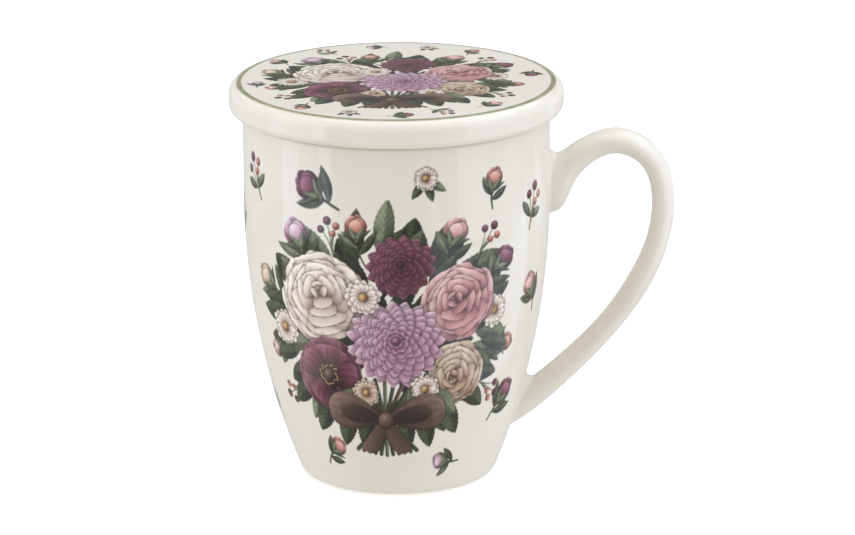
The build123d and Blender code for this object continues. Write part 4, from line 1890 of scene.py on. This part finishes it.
# ---- Studio --------------------------------------------------------------------
@dataclass(frozen=True)
class Studio:
    """Pale floor, soft lights and the camera."""

    aim: tuple[float, float, float] = (0.0, 0.0, 0.055)
    aim_right: float = 0.00842
    aim_up: float = 0.00307
    distance: float = 1.766
    elevation: float = 0.2813
    roll: float = -0.005
    lens: float = 266.7
    reach: float = 0.6  # metres from the mug's axis to the panels
    floor_size: float = 12.0
    floor_glow: float = 0.30  # a light table under the board
    daylight: str = "#DAE8FF"
    white: str = "#E3EDFF"
    bounce: str = "#FFF6EA"  # light that comes off a pale table
    room: str = "#FFFCF7"

    def floor(self) -> None:
        """A wide matt sheet of pale board."""
        half = self.floor_size / 2
        mesh = bpy.data.meshes.new("floor")
        corners = [(-half, -half, 0), (half, -half, 0), (half, half, 0), (-half, half, 0)]
        mesh.from_pydata(corners, [], [(0, 1, 2, 3)])
        settings = {
            "Base Color": linear("#F6F6F5"),
            "Roughness": 0.9,
            "Emission Color": linear("#FFFFFF"),
            "Emission Strength": self.floor_glow,
        }
        mesh.materials.append(surfaced(new_material("matt_board"), settings))
        made = shown("floor", mesh)
        made.visible_diffuse = made.visible_glossy = made.visible_shadow = False

    def soft_box(
        self, name: str, place: tuple[float, float, float], aim: tuple[float, float, float],
        size: Point, glow: float, hue: str
    ) -> None:
        """A soft box.

        Args:
            name: name of the light.
            place: where its middle is.
            aim: the point that it faces.
            size: its width and height in metres.
            glow: its radiance, where 1 is a white board in full light.
            hue: its colour.
        """
        lamp = bpy.data.lights.new(name, "AREA")
        lamp.color = linear(hue)[:3]
        lamp.shape = "RECTANGLE"
        lamp.size, lamp.size_y = size
        lamp.energy = glow * np.pi * size[0] * size[1]
        made = shown(name, lamp)
        made.location = place
        made.rotation_euler = (Vector(place) - Vector(aim)).to_track_quat("Z", "Y").to_euler()
        made.visible_camera = False

    def panel(self, name: str, sides: Point, ends: Point, glow: float, hue: str) -> None:
        """An upright soft panel that stands round the mug and faces its axis.

        Args:
            name: name of the light.
            sides: bearings of its two edges in degrees, 0 towards the camera and 90 to its right.
            ends: heights of its lower and upper edge in metres.
            glow: its radiance.
            hue: its colour.
        """
        bearing = np.radians(sum(sides) / 2)
        width = 2 * self.reach * np.tan(np.radians(abs(sides[1] - sides[0]) / 2))
        middle = sum(ends) / 2
        place = (self.reach * np.sin(bearing), -self.reach * np.cos(bearing), middle)
        self.soft_box(name, place, (0, 0, middle), (width, ends[1] - ends[0]), glow, hue)

    def surround(self, strength: float, shade: float, band: Point) -> None:
        """An even pale surround, with a grey band low round it that only the gloss shows.

        Args:
            strength: radiance of the surround.
            shade: radiance of the grey band.
            band: elevations of the band's lower and upper edge in degrees.
        """
        world = bpy.data.worlds.new("studio")
        world.use_nodes = True
        way = add_node(world, "ShaderNodeTexCoord").outputs["Generated"]
        height = add_node(world, "ShaderNodeSeparateXYZ", links={"Vector": way}).outputs["Z"]
        low, high = (np.sin(np.radians(edge)) for edge in band)
        compare = {"operation": "COMPARE", 1: (low + high) / 2, 2: (high - low) / 2}
        inside = add_node(world, "ShaderNodeMath", compare, {0: height}).outputs[0]
        glossy = add_node(world, "ShaderNodeLightPath").outputs["Is Glossy Ray"]
        times = {"operation": "MULTIPLY"}
        both = add_node(world, "ShaderNodeMath", times, {0: inside, 1: glossy}).outputs[0]
        back = world.node_tree.nodes["Background"]
        back.inputs["Color"].default_value = linear(self.room)
        world.node_tree.links.new(ranged(world, both, strength, shade), back.inputs["Strength"])
        bpy.context.scene.world = world

    def camera(self) -> None:
        """The camera, on a level ring round the mug, a little above it."""
        data = bpy.data.cameras.new("camera")
        data.lens = self.lens
        data.sensor_width = 36.0
        data.clip_end = 50.0
        made = shown("camera", data)
        back = Vector((0, -np.cos(self.elevation), np.sin(self.elevation)))
        up = Vector((0, np.sin(self.elevation), np.cos(self.elevation)))
        eye = Vector(self.aim) + back * self.distance
        target = Vector(self.aim) + Vector((self.aim_right, 0, 0)) + up * self.aim_up
        made.location = eye
        turn = (eye - target).to_track_quat("Z", "Y")
        made.rotation_euler = (turn @ Euler((0, 0, self.roll)).to_quaternion()).to_euler()
        bpy.context.scene.camera = made

    def build(self) -> None:
        """Sets up the floor, the lights and the camera."""
        bpy.context.scene.view_settings.view_transform = "Standard"
        self.floor()
        self.surround(0.675, 0.27, (11.5, 19.5))
        upright, low, high = (-0.10, 0.55), (-0.40, -0.12), (0.57, 1.0)
        for name, sides, ends, glow, hue in (
            ("left_panel", (-92.5, -75.5), upright, 1.30, self.daylight),
            ("left_middle", (-74.5, -59.5), upright, 1.15, self.daylight),
            ("left_strip", (-58.5, -48.5), upright, 2.00, self.white),
            ("left_low", (-97.0, -48.5), low, 0.95, self.bounce),
            ("left_high", (-97.0, -48.5), high, 0.45, self.daylight),
            ("right_strip", (45.0, 70.0), upright, 1.13, self.white),
            ("right_panel", (70.0, 100.0), upright, 0.44, self.daylight),
            ("right_rear", (124.0, 136.0), upright, 0.40, self.white),
            ("right_low", (25.0, 115.0), low, 0.95, self.white),
            ("right_high", (25.0, 100.0), high, 0.60, self.white),
        ):
            self.panel(name, sides, ends, glow, hue)
        for name, place, glow in (
            ("over_left", (-0.62, 0.0, 0.8), 0.95),
            ("over_right", (0.62, 0.0, 0.8), 1.68),
            ("over_right_back", (0.44, 0.44, 0.8), 1.40),
        ):
            self.soft_box(name, place, self.aim, (0.5, 0.5), glow, self.daylight)
        self.soft_box("under_right", (0.42, -0.2, -0.4), self.aim, (0.4, 0.4), 0.20, self.bounce)
        self.soft_box("over_top", (0, -0.001, 1.3), self.aim, (1.0, 1.0), 1.20, self.room)
        self.camera()


def main() -> None:
    """Builds the pieces in order."""
    logging.basicConfig(level=logging.INFO, format="%(name)s: %(message)s")
    glaze = GlazedPorcelain()
    porcelain = glaze.material()
    mug = MugBody()
    lid = Lid(mug)
    mug.build(porcelain)
    Handle(mug).build(porcelain)
    lid.build(porcelain)
    Transfers(mug, lid).build(PrintedTransfer(glaze).material())
    steel = BrushedSteel()
    Basket(mug).build(steel.material(Grain.ROUND))
    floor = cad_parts["infuser_floor"].data.materials
    floor.clear()
    floor.append(steel.material(Grain.ALONG_SPREAD))
    Studio().build()


if __name__ == "__main__":
    main()
